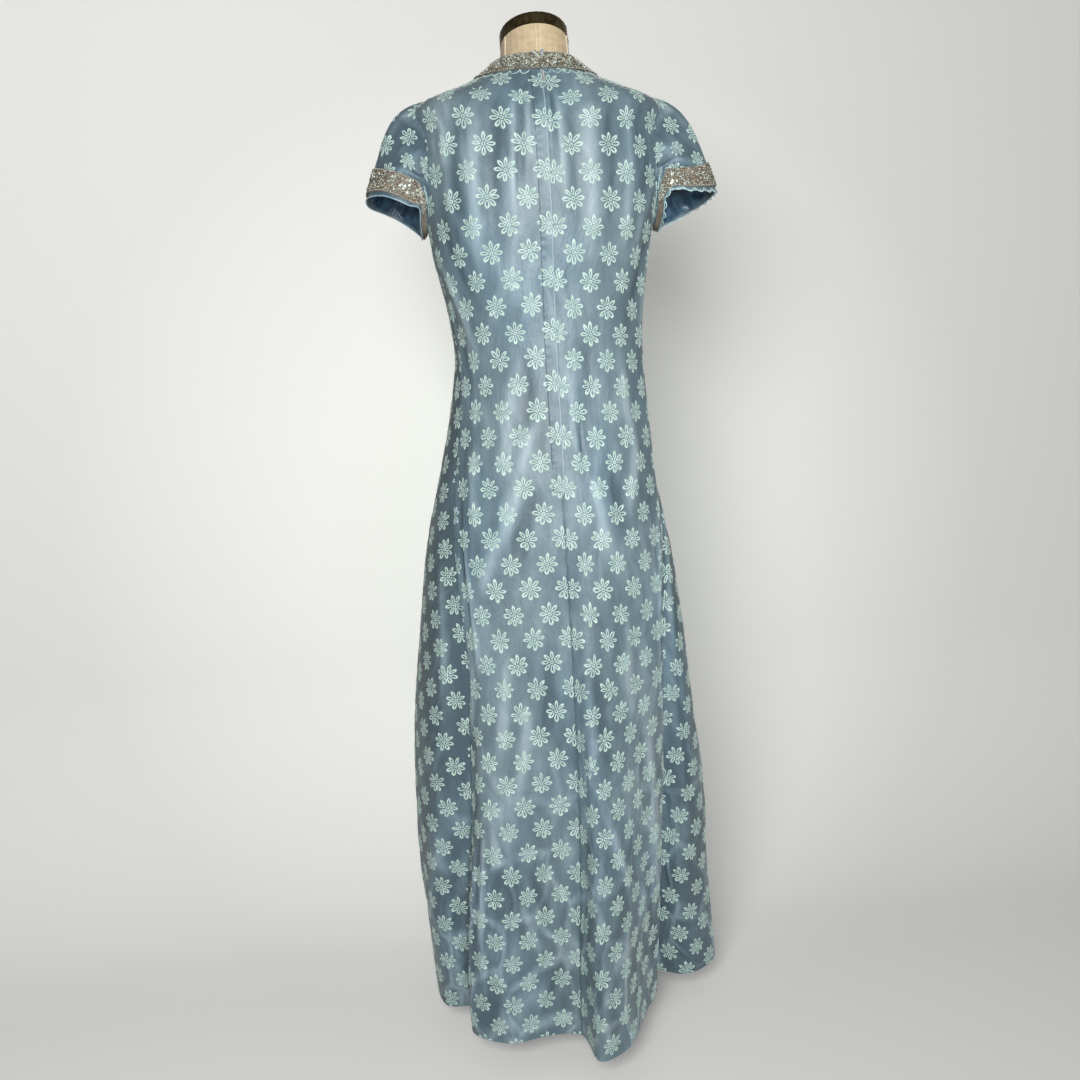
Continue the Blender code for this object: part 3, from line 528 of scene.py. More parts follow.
def make_piece(name, points, faces, materials, picks=None, flat=None, ridge=None, sharp=50):
    """A mesh object of the part. flat and ridge hold one value for each point; ridge is stored as the
    attribute that the cloth's material paints as light and shade.
    """
    mesh = bpy.data.meshes.new(name)
    mesh.from_pydata(np.asarray(points).tolist(), [], np.asarray(faces).tolist())
    for material in materials:
        mesh.materials.append(material)
    if picks is not None:
        mesh.polygons.foreach_set("material_index", np.asarray(picks, dtype=np.int32))
    mesh.shade_smooth()
    if sharp:
        mesh.set_sharp_from_angle(angle=math.radians(sharp))
    corners = np.zeros(len(mesh.loops), dtype=np.int32)
    mesh.loops.foreach_get("vertex_index", corners)
    if flat is not None:
        layer = mesh.uv_layers.new(name="cloth")
        layer.data.foreach_set("uv", np.asarray(flat)[corners].ravel())
    if ridge is not None:
        values = mesh.attributes.new("ridge", "FLOAT", "POINT")
        values.data.foreach_set("value", np.asarray(ridge, dtype=np.float32))
    mesh.update()
    thing = bpy.data.objects.new(name, mesh)
    bpy.context.scene.collection.objects.link(thing)
    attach(thing, "root")
    return thing


def grid_faces(rows, columns, closed=False, start=0):
    """The faces of a grid of points numbered row by row."""
    spans = columns if closed else columns - 1
    row = np.arange(rows - 1)[:, None]
    column = np.arange(spans)[None, :]
    beside = (column + 1) % columns
    corners = [
        row * columns + column,
        row * columns + beside,
        (row + 1) * columns + beside,
        (row + 1) * columns + column,
    ]
    return np.stack([c + np.zeros_like(row + column) for c in corners], axis=-1).reshape(-1, 4) + start


def shell(name, cloth, thickness, outside, inside, closed=False):
    """Cloth with an outer face, an inner face and turned edges."""
    rows, columns = cloth.points.shape[:2]
    count = rows * columns
    outer = cloth.points.reshape(-1, 3)
    inner = (cloth.points - cloth.normals * thickness).reshape(-1, 3)
    front = grid_faces(rows, columns, closed)
    back = front[:, ::-1] + count
    spans = columns if closed else columns - 1
    column = np.arange(spans)
    beside = (column + 1) % columns
    edges = []
    for row in (0, rows - 1):
        a, b = row * columns + column, row * columns + beside
        edges.append(np.stack([a, b, b + count, a + count], axis=-1))
    if not closed:
        row = np.arange(rows - 1) * columns
        for last in (0, columns - 1):
            a, b = row + last, row + last + columns
            edges.append(np.stack([a, b, b + count, a + count], axis=-1))
    rim = np.concatenate(edges)
    faces = np.concatenate([front, back, rim])
    middle = cloth.points[rows // 2, columns // 2] - cloth.points[rows // 2 - 1, columns // 2]
    side = cloth.points[rows // 2, columns // 2 + 1] - cloth.points[rows // 2, columns // 2]
    if np.dot(np.cross(side, middle), cloth.normals[rows // 2, columns // 2]) < 0:
        faces = faces[:, ::-1]
    picks = np.concatenate([np.zeros(len(front)), np.ones(len(back)), np.zeros(len(rim))])
    flat = np.concatenate([cloth.flat.reshape(-1, 2)] * 2)
    ridge = np.concatenate([cloth.ridge.ravel()] * 2)
    return make_piece(
        name, np.concatenate([outer, inner]), faces, [outside, inside], picks, flat, ridge
    )


# The heights at which the body is laid flat, closer together where it runs in over the shoulders
FLAT_HEIGHTS = np.concatenate([np.linspace(HEM, 1.37, 120), np.linspace(1.378, NECKLINE, 26)])


def body_flat(first, last, count, straight):
    """A function that gives the place on the flat cloth of a column and height between two columns. The
    line of the column called straight is set upright at 0 across."""
    columns = np.linspace(first, last, count)
    grid_columns, grid_heights = np.meshgrid(columns, FLAT_HEIGHTS)
    flat = lay_flat(body_point(grid_columns % len(FOLDS), grid_heights))
    line = int(round((straight - first) / (last - first) * (count - 1)))
    low, high = flat[4, line], flat[-20, line]
    tilt = math.atan2(high[0] - low[0], high[1] - low[1])
    turn = np.array([[math.cos(tilt), math.sin(tilt)], [-math.sin(tilt), math.cos(tilt)]])
    flat = (flat - flat[0, line]) @ turn
    flat[..., 0] -= flat[:, line : line + 1, 0]

    def find(column, height):
        row = np.interp(height, FLAT_HEIGHTS, np.arange(len(FLAT_HEIGHTS)))
        return read_grid(flat, row, (column - first) / (last - first) * (count - 1))

    return find


def edge_shares(count):
    """Shares across a piece, closer together at both edges."""
    middle = np.linspace(0.02, 0.98, count - 6)
    return np.concatenate([[0, 0.003, 0.008, 0.014], middle[1:-1], [0.986, 0.992, 0.997, 1]])


def body_heights():
    """Heights of the rows of points, closer together where the armhole turns."""
    turn = (1 - np.cos(math.pi * np.arange(35) / 34)) / 2
    return np.concatenate(
        [
            [HEM, HEM + 0.001],
            np.linspace(HEM + 0.003, UNDERARM, 172)[:-1],
            (UNDERARM + (SHOULDER - UNDERARM) * turn)[:-1],
            np.linspace(SHOULDER, NECKLINE, 11),
        ]
    )


def body_cloth(name, first_edge, last_edge, heights, count, find, seed):
    start = first_edge + half_gap(first_edge, heights)
    end = last_edge - half_gap(last_edge, heights)
    columns = start[:, None] + (end - start)[:, None] * edge_shares(count)[None, :]
    levels = np.broadcast_to(heights[:, None], columns.shape)
    points = body_point(columns, levels)
    _, _, normal = body_slopes(columns, levels)
    points, normal, ridge = crease_cloth(name, points, normal, seed)
    flat = find(columns, levels)
    # Painted shade: the front is painted darker towards both its sides, below the bust
    if name == "front":
        left = smooth_step((columns - 17.0) / 1.6)
        right = smooth_step((8.6 - columns) / 1.8)
        ridge = ridge - (left + 0.85 * right) * smooth_step((1.25 - levels) / 0.2)
    for edge in (0, -1):
        inward = np.linalg.norm(points - points[:, edge : edge + 1 or None][:, :1], axis=-1)
        pucker = 1 + 0.35 * np.sin(levels * 520 + seed) + 0.3 * np.sin(levels * 233 + 2 * seed)
        roll = np.exp(-((inward / 0.0022) ** 2)) * pucker
        if (name, edge) not in (("back_right", 0), ("back_left", -1)):
            roll = roll * (1 - 0.9 * smooth_step((levels - UNDERARM) / 0.01))
        points = points - normal * (roll * 0.0008)[..., None]
        # Painted shade in the rolled-in edge
        ridge = ridge - roll * 0.6
    return Cloth(points, grid_normals(points, normal), flat, np.clip(ridge, -1.5, 1.5))


# The woven daisy: the turn of each petal in degrees from the top, its length, its half width, and how
# pointed its tip is, in millimetres
Petal = namedtuple("Petal", "turn long half point")
DAISY = [
    Petal(0, 13.8, 2.1, 2.2),
    Petal(43, 13.5, 2.2, 1.5),
    Petal(87, 13.3, 2.4, 0.6),
    Petal(136, 13.5, 2.5, 0.0),
    Petal(180, 13.8, 2.6, 0.3),
    Petal(224, 13.5, 2.5, 0.0),
    Petal(273, 13.3, 2.4, 0.6),
    Petal(317, 13.5, 2.2, 1.5),
]
PETAL_ROOT = 3.9
LOOP_POINTS = 12
EYE_POINTS = 8
COLUMN_STEP, ROW_STEP = 0.0248, 0.0705


def daisy(chance):
    """One woven daisy as (places on the cloth in metres, lifts, faces), with a thread three points wide."""
    places, lifts, faces = [], [], []

    def add_loop(middle, half, rise):
        along = np.roll(middle, -1, axis=0) - np.roll(middle, 1, axis=0)
        out = np.stack([along[:, 1], -along[:, 0]], axis=-1)
        out /= np.linalg.norm(out, axis=1, keepdims=True)
        count, first = len(middle), sum(len(p) for p in places)
        places.append(np.concatenate([middle + out * half[:, None], middle, middle - out * half[:, None]]))
        lifts.append(np.concatenate([np.full(count, 0.10), rise, np.full(count, 0.10)]))
        i = np.arange(count)
        j = (i + 1) % count
        for ring in (0, count):
            faces.append(first + np.stack([ring + i, ring + j, ring + count + j, ring + count + i], axis=-1))

    a = 2 * math.pi * np.arange(LOOP_POINTS) / LOOP_POINTS
    reach = (1 - np.cos(a)) / 2
    for petal in DAISY:
        long = petal.long * chance.uniform(0.94, 1.05)
        half = petal.half * chance.uniform(0.86, 1.12)
        turn = math.radians(petal.turn + chance.normal() * 2.5)
        out = PETAL_ROOT + (long - PETAL_ROOT) * reach + petal.point * np.exp(-(((a - math.pi) / 0.5) ** 2))
        side = half * np.sin(a) * reach**0.35
        middle = np.stack(
            [math.cos(turn) * side + math.sin(turn) * out, math.cos(turn) * out - math.sin(turn) * side], -1
        )
        add_loop(middle, 0.58 + (0.55 + 0.30 * (petal.point < 0.5)) * reach**1.5, 0.45 + 0.25 * reach)
    a = 2 * math.pi * np.arange(EYE_POINTS) / EYE_POINTS
    eye = np.stack([np.cos(a), -np.sin(a)], axis=-1) * 2.0
    add_loop(eye, np.full(EYE_POINTS, 0.80), np.full(EYE_POINTS, 0.6))
    return np.concatenate(places) / 1000, np.concatenate(lifts) / 1000, np.concatenate(faces)


def lattice(flat, across, up):
    """Places of daisies over a piece of flat cloth, in columns with a half drop. One of them lies at across
    and up."""
    low, high = flat.reshape(-1, 2).min(axis=0), flat.reshape(-1, 2).max(axis=0)
    places = []
    for number in range(int((low[0] - across) / COLUMN_STEP) - 1, int((high[0] - across) / COLUMN_STEP) + 2):
        start = up + (number % 2) * ROW_STEP / 2
        for row in range(int((low[1] - start) / ROW_STEP) - 1, int((high[1] - start) / ROW_STEP) + 2):
            places.append((across + number * COLUMN_STEP, start + row * ROW_STEP))
    return np.array(places)


def find_on_cloth(cloth, target, row, column):
    """Rows and columns of a cloth's grid that lie at places on the flat cloth, from a first guess, and how
    far off they are."""
    flat = cloth.flat
    rows, columns = flat.shape[:2]
    for _ in range(12):
        row = np.clip(row, 0, rows - 1.0001)
        column = np.clip(column, 0, columns - 1.0001)
        low, left = row.astype(int), column.astype(int)
        off = target - read_grid(flat, row, column)
        part, share = (row - low)[..., None], (column - left)[..., None]
        corner = flat[low, left], flat[low, left + 1], flat[low + 1, left], flat[low + 1, left + 1]
        by_row = (corner[2] - corner[0]) * (1 - share) + (corner[3] - corner[1]) * share
        by_column = (corner[1] - corner[0]) * (1 - part) + (corner[3] - corner[2]) * part
        area = by_row[..., 0] * by_column[..., 1] - by_row[..., 1] * by_column[..., 0]
        area = np.where(np.abs(area) < 1e-12, 1e-12, area)
        row = row + np.clip((off[..., 0] * by_column[..., 1] - off[..., 1] * by_column[..., 0]) / area, -9, 9)
        column = column + np.clip((by_row[..., 0] * off[..., 1] - by_row[..., 1] * off[..., 0]) / area, -9, 9)
    row = np.clip(row, 0, rows - 1.0001)
    column = np.clip(column, 0, columns - 1.0001)
    return row, column, np.linalg.norm(target - read_grid(flat, row, column), axis=-1)


def weave_daisies(name, cloth, across, up, thread, seed, below=None, side=None):
    """The daisies of one piece of cloth, cut off at its edges, joined in one mesh. side, -1 or 1, takes
    half of them, and below stops them at that row of a sleeve."""
    chance = np.random.default_rng(seed)
    rows, columns = cloth.flat.shape[:2]
    flat = cloth.flat.reshape(-1, 2)
    last_row = None if below is None else np.interp(below, SLEEVE_DOWNS, np.arange(rows))
    points, faces, marks, total = [], [], [], 0
    for place in lattice(cloth.flat, across, up):
        if side is not None and (place[0] - across + COLUMN_STEP / 2) * side < 0:
            continue
        nearest = np.argmin(np.sum((flat - place) ** 2, axis=1))
        if np.linalg.norm(flat[nearest] - place) > 0.017:
            continue
        spots, lifts, quads = daisy(chance)
        tilt = math.radians(chance.normal() * 3)
        turn = np.array([[math.cos(tilt), -math.sin(tilt)], [math.sin(tilt), math.cos(tilt)]])
        target = place + chance.normal(size=2) * 0.0006 + spots @ turn * chance.uniform(0.97, 1.05)
        first = (
            np.full(len(target), float(nearest // columns)),
            np.full(len(target), float(nearest % columns)),
        )
        row, column, off = find_on_cloth(cloth, target, *first)
        there = off < 0.0004
        if last_row is not None:
            there &= row < last_row
        quads = quads[there[quads].all(axis=1)]
        if not len(quads):
            continue
        normal = read_grid(cloth.normals, row, column)
        points.append(read_grid(cloth.points, row, column) + normal * lifts[:, None])
        faces.append(quads + total)
        marks.append(spots)
        total += len(target)
    points, faces, marks = np.concatenate(points), np.concatenate(faces), np.concatenate(marks)
    used = np.unique(faces)
    number = np.zeros(total, dtype=int)
    number[used] = np.arange(len(used))
    return make_piece(
        name, points[used], number[faces][:, ::-1], [thread], flat=marks[used], sharp=0
    )


def beads_on(points, normals, closed, pattern, seed):
    """(points, faces, picks) of beads laid on a band. pattern gives each bead's share along, its share
    across and its kind."""
    rows, columns = points.shape[:2]
    if closed:
        points = np.concatenate([points, points[:, :1]], axis=1)
        normals = np.concatenate([normals, normals[:, :1]], axis=1)
        columns += 1
    chance = np.random.default_rng(seed)
    middle = points[rows // 2]
    length = np.concatenate([[0], np.cumsum(np.linalg.norm(np.diff(middle, axis=0), axis=1))])
    places, kinds = pattern(length[-1], np.linalg.norm(points[-1] - points[0], axis=-1).mean(), chance)
    column = np.interp(places[:, 0], length, np.arange(columns))
    row = places[:, 1] * (rows - 1)
    spot, out = read_grid(points, row, column), read_grid(normals, row, column)
    out /= np.linalg.norm(out, axis=1, keepdims=True)
    ahead = read_grid(points, row, np.minimum(column + 0.6, columns - 1.01))
    ahead = ahead - read_grid(points, row, np.maximum(np.minimum(column + 0.6, columns - 1.01) - 1.2, 0))
    ahead -= out * np.sum(ahead * out, axis=1, keepdims=True)
    ahead /= np.linalg.norm(ahead, axis=1, keepdims=True) + 1e-12
    side = np.cross(out, ahead)
    made, faces, picks, total = [], [], [], 0
    for kind, (template, flats, size, lift, finish) in enumerate(BEADS):
        pick = np.flatnonzero(kinds == kind)
        if not len(pick):
            continue
        angle = chance.uniform(0, 2 * math.pi, len(pick))[:, None]
        first = ahead[pick] * np.cos(angle) + side[pick] * np.sin(angle)
        second = np.cross(out[pick], first)
        lean = chance.normal(size=(len(pick), 1)) * 0.22
        up = out[pick] + first * lean
        up /= np.linalg.norm(up, axis=1, keepdims=True)
        scale = np.array(size)[None] * chance.uniform(0.85, 1.12, (len(pick), 1))
        local = template[None] * scale[:, None]
        rise = lift + chance.uniform(0, 0.0004, (len(pick), 1, 1))
        place = spot[pick][:, None] + out[pick][:, None] * rise
        place = place + local[..., :1] * first[:, None] + local[..., 1:2] * second[:, None]
        place = place + local[..., 2:] * up[:, None]
        made.append(place.reshape(-1, 3))
        block = flats[None] + (np.arange(len(pick)) * len(template))[:, None, None] + total
        faces.append(block.reshape(-1, 3))
        picks.append(np.repeat(np.full(len(pick), finish), len(flats)))
        total += len(pick) * len(template)
    return np.concatenate(made), np.concatenate(faces), np.concatenate(picks)


def round_bead():
    """A small ball of 20 faces."""
    long = (1 + math.sqrt(5)) / 2
    corners = []
    for one in (-1, 1):
        for two in (-long, long):
            corners += [(0, one, two), (one, two, 0), (two, 0, one)]
    corners = np.array(corners)
    faces = []
    for a in range(12):
        for b in range(a + 1, 12):
            for c in range(b + 1, 12):
                sides = [np.linalg.norm(corners[i] - corners[j]) for i, j in ((a, b), (b, c), (c, a))]
                if max(sides) < 2.1:
                    out = np.cross(corners[b] - corners[a], corners[c] - corners[a])
                    faces.append((a, b, c) if np.dot(out, corners[a]) > 0 else (a, c, b))
    return corners / np.linalg.norm(corners[0]), np.array(faces)


def bugle_bead():
    """A short glass tube along its first axis, of 20 faces."""
    angle = 2 * math.pi * np.arange(6) / 6
    ring = np.stack([np.zeros(6), np.cos(angle), np.sin(angle)], axis=-1)
    points = np.concatenate([ring + [-1, 0, 0], ring + [1, 0, 0]])
    faces = []
    for i in range(6):
        j = (i + 1) % 6
        faces += [(i, j, j + 6), (i, j + 6, i + 6)]
    for i in range(1, 5):
        faces += [(0, i + 1, i), (6, i + 6, i + 7)]
    return points, np.array(faces)


def sequin():
    """A cupped disc of 8 faces."""
    angle = 2 * math.pi * np.arange(8) / 8
    rim = np.stack([np.cos(angle), np.sin(angle), np.full(8, 0.22)], axis=-1)
    points = np.concatenate([rim, [[0, 0, 0]]])
    return points, np.array([(i, (i + 1) % 8, 8) for i in range(8)])


BALL, BUGLE, CUP = round_bead(), bugle_bead(), sequin()
# The kinds of bead: form, half sizes, lift and finish, an index into the braid's materials
BEADS = [
    (*BALL, (0.00105, 0.00105, 0.00095), 0.0008, 1),
    (*BALL, (0.00120, 0.00120, 0.00105), 0.0009, 2),
    (*BALL, (0.00095, 0.00095, 0.00090), 0.0008, 3),
    (*BUGLE, (0.00230, 0.00070, 0.00070), 0.0011, 1),
    (*BUGLE, (0.00230, 0.00070, 0.00070), 0.0011, 2),
    (*CUP, (0.00190, 0.00190, 0.00140), 0.0013, 4),
    (*BALL, (0.00175, 0.00175, 0.00155), 0.0014, 4),
]


# Where the beads of a sleeve's braid begin and end, as shares of its way round from the underarm by the back
CUFF_BEADS = (0.155, 0.965)


def braid_pattern(length, width, chance):
    """Beads of the braid: a string along each edge, a running scroll between them and a scatter to fill."""
    places, kinds = [], []
    for share in (0.05, 0.95):
        count = int(length / 0.0021)
        along = (np.arange(count) + 0.5) / count * length
        places.append(np.stack([along, np.full(count, share)], axis=-1))
        kinds.append(np.zeros(count, dtype=int))
    step = 0.0028
    for row, across in enumerate(np.arange(0.12, 0.90, step * 0.86 / width)):
        along = np.arange(step / 2 + (row % 2) * step / 2, length, step)
        spot = np.stack([along, np.full(len(along), across)], axis=-1)
        spot += chance.normal(size=spot.shape) * np.array([0.0005, 0.0005 / width])
        scroll = 0.5 + 0.27 * np.sin(along / 0.0105 * math.pi)
        on_scroll = np.abs(across - scroll) * width < 0.0019
        kind = chance.choice(7, len(along), p=[0.16, 0.20, 0.26, 0.14, 0.10, 0.10, 0.04])
        kind = np.where(on_scroll, chance.choice([5, 6, 0], len(along), p=[0.35, 0.35, 0.30]), kind)
        places.append(spot)
        kinds.append(kind)
    places, kinds = np.concatenate(places), np.concatenate(kinds)
    places[:, 1] = np.clip(places[:, 1], 0.03, 0.97)
    return places, kinds


def cuff_pattern(length, width, chance):
    """The braid's beads without the plain turned ends at the underarm."""
    places, kinds = braid_pattern(length, width, chance)
    share = places[:, 0] / length
    shown = (share > CUFF_BEADS[0]) & (share < CUFF_BEADS[1])
    return places[shown], kinds[shown]


def add(tree, kind, settings=None, **inputs):
    """A node with its settings and inputs. An input is a socket to link or a value."""
    node = tree.nodes.new("ShaderNode" + kind)
    for key, value in (settings or {}).items():
        setattr(node, key, value)
    for key, value in inputs.items():
        socket = node.inputs[int(key[1:]) if key[0] == "i" and key[1:].isdigit() else key.replace("_", " ")]
        if isinstance(value, bpy.types.NodeSocket):
            tree.links.new(value, socket)
        else:
            socket.default_value = value
    return node


def new_material(name):
    """(material, its node tree, its shader)"""
    made = bpy.data.materials.new(name)
    made.use_nodes = True
    return made, made.node_tree, made.node_tree.nodes["Principled BSDF"]


def finish_shader(tree, shader, colour, height=None, strength=0.3, distance=0.001, **values):
    """Links a colour and a bump height to a shader, and sets its plain values."""
    if isinstance(colour, bpy.types.NodeSocket):
        tree.links.new(colour, shader.inputs["Base Color"])
    else:
        shader.inputs["Base Color"].default_value = (*colour, 1)
    for key, value in values.items():
        socket = shader.inputs[key.replace("_", " ")]
        if isinstance(value, bpy.types.NodeSocket):
            tree.links.new(value, socket)
        else:
            socket.default_value = value
    if height is not None:
        bump = add(tree, "Bump", Strength=strength, Distance=distance, Height=height)
        tree.links.new(bump.outputs["Normal"], shader.inputs["Normal"])


def stretched(tree, across, up, source="UV"):
    """Places on the cloth in metres, counted in repeats a metre across and up."""
    place = add(tree, "TexCoord").outputs[source]
    third = across if source == "UV" else (across + up) / 2
    scale = (across, up if source == "UV" else across, third)
    return add(tree, "Mapping", Vector=place, Scale=scale).outputs["Vector"]


def noise(tree, vector, detail=2.0, rough=0.5, scale=1.0):
    return add(tree, "TexNoise", Vector=vector, Scale=scale, Detail=detail, Roughness=rough).outputs["Fac"]


def ramp(tree, value, stops, smooth=True):
    """A colour ramp from (place, colour) stops."""
    made = add(tree, "ValToRGB", Fac=value)
    made.color_ramp.interpolation = "EASE" if smooth else "LINEAR"
    while len(made.color_ramp.elements) < len(stops):
        made.color_ramp.elements.new(0.5)
    for element, (place, colour) in zip(made.color_ramp.elements, stops):
        element.position = place
        element.color = (*colour, 1)
    return made.outputs["Color"]


def mix(tree, share, first, second, kind="MIX"):
    made = add(tree, "Mix", {"data_type": "RGBA", "blend_type": kind})
    for place, value in ((0, share), (6, first), (7, second)):
        if isinstance(value, bpy.types.NodeSocket):
            tree.links.new(value, made.inputs[place])
        else:
            made.inputs[place].default_value = value if place == 0 else (*value, 1)
    return made.outputs[2]


def combine(tree, kind, first, second, third=0.0):
    return add(tree, "Math", {"operation": kind}, i0=first, i1=second, i2=third).outputs["Value"]


def smooth_range(tree, value, start, end):
    """0 at a start value, 1 at an end value and smooth between."""
    made = add(tree, "MapRange", {"interpolation_type": "SMOOTHSTEP"}, Value=value, i1=start, i2=end)
    return made.outputs["Result"]


def bands(tree, axis, place, scale, distortion):
    """Bands of light and dark across an axis, as threads or stitches have."""
    return add(tree, "TexWave", {"bands_direction": axis}, Vector=place, Scale=scale, Distortion=distortion)


def cloth_material(name, deep, middle, light, sheen, rough):
    """Satin under a sheer weave: clouds of colour and upright streaks, partly tone and partly painted sheen
    of the satin under the sheer, painted light on ridges and painted shade in troughs, troughs deeper than
    ridges, painted light and shade on crumples towards the hem, and painted shade darker towards the hem.
    """
    made, tree, shader = new_material(name)
    clouds = noise(tree, stretched(tree, 11.0, 6.0), 3.0, 0.55)
    wander = add(tree, "TexNoise", Vector=stretched(tree, 1.0, 1.0), Scale=7.0, Detail=2.0).outputs["Color"]
    sway = add(tree, "VectorMath", {"operation": "MULTIPLY"}, i0=wander, i1=(0.09, 0.05, 0.0))
    sway = sway.outputs["Vector"]
    bent = add(tree, "VectorMath", {"operation": "ADD"}, i0=sway, i1=stretched(tree, 1.0, 1.0))
    bent = bent.outputs["Vector"]
    long = add(tree, "Mapping", Vector=bent, Rotation=(0.0, 0.0, 0.10), Scale=(62.0, 7.0, 30.0))
    long = long.outputs["Vector"]
    streaks = noise(tree, long, 3.0, 0.6)
    crumple = noise(tree, stretched(tree, 34.0, 22.0), 3.0, 0.6)
    ridge = add(tree, "Attribute", {"attribute_name": "ridge"}).outputs["Fac"]
    # Clouds, streaks and crumples: partly tone that differs at random, partly painted sheen of the satin
    # under the sheer
    value = combine(tree, "MULTIPLY_ADD", streaks, 0.40, combine(tree, "MULTIPLY", clouds, 0.76))
    value = combine(tree, "MULTIPLY_ADD", crumple, 0.22, value)
    # Painted light on ridges and painted shade in troughs, from the ridge attribute
    value = combine(tree, "MULTIPLY_ADD", ridge, 0.19, value)
    high = add(tree, "SeparateXYZ", Vector=stretched(tree, 1.0, 1.0)).outputs["Y"]
    low = smooth_range(tree, high, 0.62, 0.10)
    cells = add(tree, "Mapping", Vector=bent, Rotation=(0.0, 0.0, 0.5), Scale=(17.0, 10.0, 10.0))
    cells = cells.outputs["Vector"]
    facets = add(tree, "TexVoronoi", {"feature": "F2"}, Vector=cells, Scale=1.0, Randomness=1.0)
    facets = facets.outputs["Distance"]
    facets = combine(tree, "MULTIPLY", combine(tree, "SUBTRACT", facets, 0.75), low)
    # Painted light and shade on the facets of the crumples towards the hem
    value = combine(tree, "MULTIPLY_ADD", facets, 0.50, value)
    edges = add(tree, "TexVoronoi", {"feature": "DISTANCE_TO_EDGE"}, Vector=cells, Scale=1.0)
    edges = edges.outputs["Distance"]
    lines = smooth_range(tree, edges, 0.13, 0.0)
    strength = combine(tree, "MULTIPLY", crumple, 1.8)
    lines = combine(tree, "MULTIPLY", combine(tree, "MULTIPLY", lines, low), strength)
    # Painted highlights along the folds between the crumples' facets
    value = combine(tree, "MULTIPLY_ADD", lines, 0.30, value)
    # Painted shade: darker towards the hem
    value = combine(tree, "MULTIPLY_ADD", low, -0.08, value)
    colour = ramp(tree, value, [(0.455, deep), (0.695, middle), (0.955, light)], smooth=False)
    tint = noise(tree, stretched(tree, 5.0, 2.6), 2.0, 0.5, 1.3)
    patches = ramp(tree, tint, [(0.40, (0, 0, 0)), (0.62, (1, 1, 1))])
    bluer = mix(tree, 1.0, colour, (0.95, 1.02, 1.09), "MULTIPLY")
    colour = mix(tree, patches, colour, bluer)
    warp = bands(tree, "X", stretched(tree, 1.0, 1.0), 420.0, 0.6)
    weft = bands(tree, "Y", stretched(tree, 1.0, 1.0), 360.0, 0.6)
    weave = combine(tree, "MULTIPLY", warp.outputs["Fac"], weft.outputs["Fac"])
    height = combine(tree, "MULTIPLY_ADD", weave, 0.05, combine(tree, "MULTIPLY", crumple, 1.6))
    height = combine(tree, "MULTIPLY_ADD", streaks, 0.8, height)
    height = combine(tree, "MULTIPLY_ADD", facets, 6.0, height)
    height = combine(tree, "MULTIPLY_ADD", lines, 3.2, height)
    finish_shader(tree, shader, colour, height, 0.55, 0.0024, Roughness=rough, Sheen_Weight=sheen,
                  Sheen_Roughness=0.4, Sheen_Tint=(0.90, 0.96, 0.94, 1.0), Specular_IOR_Level=0.5)
    return made


def satin_material(name, deep, light, rough=0.3):
    made, tree, shader = new_material(name)
    clouds = noise(tree, stretched(tree, 60.0, 45.0), 3.0, 0.6)
    fine = noise(tree, stretched(tree, 300.0, 40.0), 2.0, 0.5)
    value = combine(tree, "MULTIPLY_ADD", fine, 0.25, combine(tree, "MULTIPLY", clouds, 0.8))
    colour = ramp(tree, value, [(0.38, deep), (0.68, light)])
    finish_shader(tree, shader, colour, value, 0.8, 0.003, Roughness=rough,
                  Sheen_Weight=0.2, Specular_IOR_Level=0.6)
    return made


def thread_material(name, first, second):
    """Matt floss with fine stitches and a little colour change."""
    made, tree, shader = new_material(name)
    change = noise(tree, stretched(tree, 120.0, 120.0, "Object"), 2.0, 0.6)
    stitches = bands(tree, "DIAGONAL", stretched(tree, 1.0, 1.0), 380.0, 1.5)
    colour = ramp(tree, change, [(0.35, first), (0.68, second)])
    finish_shader(tree, shader, colour, stitches.outputs["Fac"], 0.35, 0.0003, Roughness=0.55,
                  Sheen_Weight=0.35, Sheen_Roughness=0.4, Sheen_Tint=(0.9, 1.0, 0.97, 1.0))
    return made


def bead_material(name, colour, metallic, rough):
    made, tree, shader = new_material(name)
    change = noise(tree, stretched(tree, 260.0, 260.0, "Object"), 2.0, 0.6)
    low = tuple(0.62 * c for c in colour)
    high = tuple(min(1.0, 1.22 * c) for c in colour)
    scratch = noise(tree, stretched(tree, 900.0, 900.0, "Object"), 2.0, 0.6)
    finish_shader(tree, shader, ramp(tree, change, [(0.35, low), (0.66, high)]), scratch, 0.25, 0.0004,
                  Metallic=metallic, Roughness=rough, Coat_Weight=0.4, Coat_Roughness=0.1)
    return made


def rigid_material(name, low, high, scale, metallic, rough, stretch=1.0, strength=0.2, distance=0.0006):
    """Metal, iron or linen, with grain, wear and a change of gloss. stretch makes the grain long round the
    Z axis."""
    made, tree, shader = new_material(name)
    grain = noise(tree, stretched(tree, scale, scale * stretch, "Object"), 4.0, 0.6)
    broad = noise(tree, stretched(tree, scale / 14, scale / 14, "Object"), 2.0, 0.5)
    value = combine(tree, "MULTIPLY_ADD", broad, 0.6, combine(tree, "MULTIPLY", grain, 0.4))
    gloss = combine(tree, "MULTIPLY_ADD", broad, 0.22, rough - 0.11)
    finish_shader(tree, shader, ramp(tree, value, [(0.36, low), (0.64, high)]), grain, strength, distance,
                  Metallic=metallic, Roughness=gloss)
    return made


def linen_material(name, low, high):
    made, tree, shader = new_material(name)
    place = stretched(tree, 1.0, 1.0, "Object")
    rows = bands(tree, "Z", place, 260.0, 1.2)
    lines = bands(tree, "X", place, 260.0, 1.2)
    weave = combine(tree, "MULTIPLY", rows.outputs["Fac"], lines.outputs["Fac"])
    slub = noise(tree, stretched(tree, 70.0, 240.0, "Object"), 3.0, 0.6)
    value = combine(tree, "MULTIPLY_ADD", weave, 0.3, combine(tree, "MULTIPLY", slub, 0.7))
    colour = ramp(tree, value, [(0.25, low), (0.70, high)])
    finish_shader(tree, shader, colour, value, 0.5, 0.0006, Roughness=0.85, Sheen_Weight=0.25)
    return made


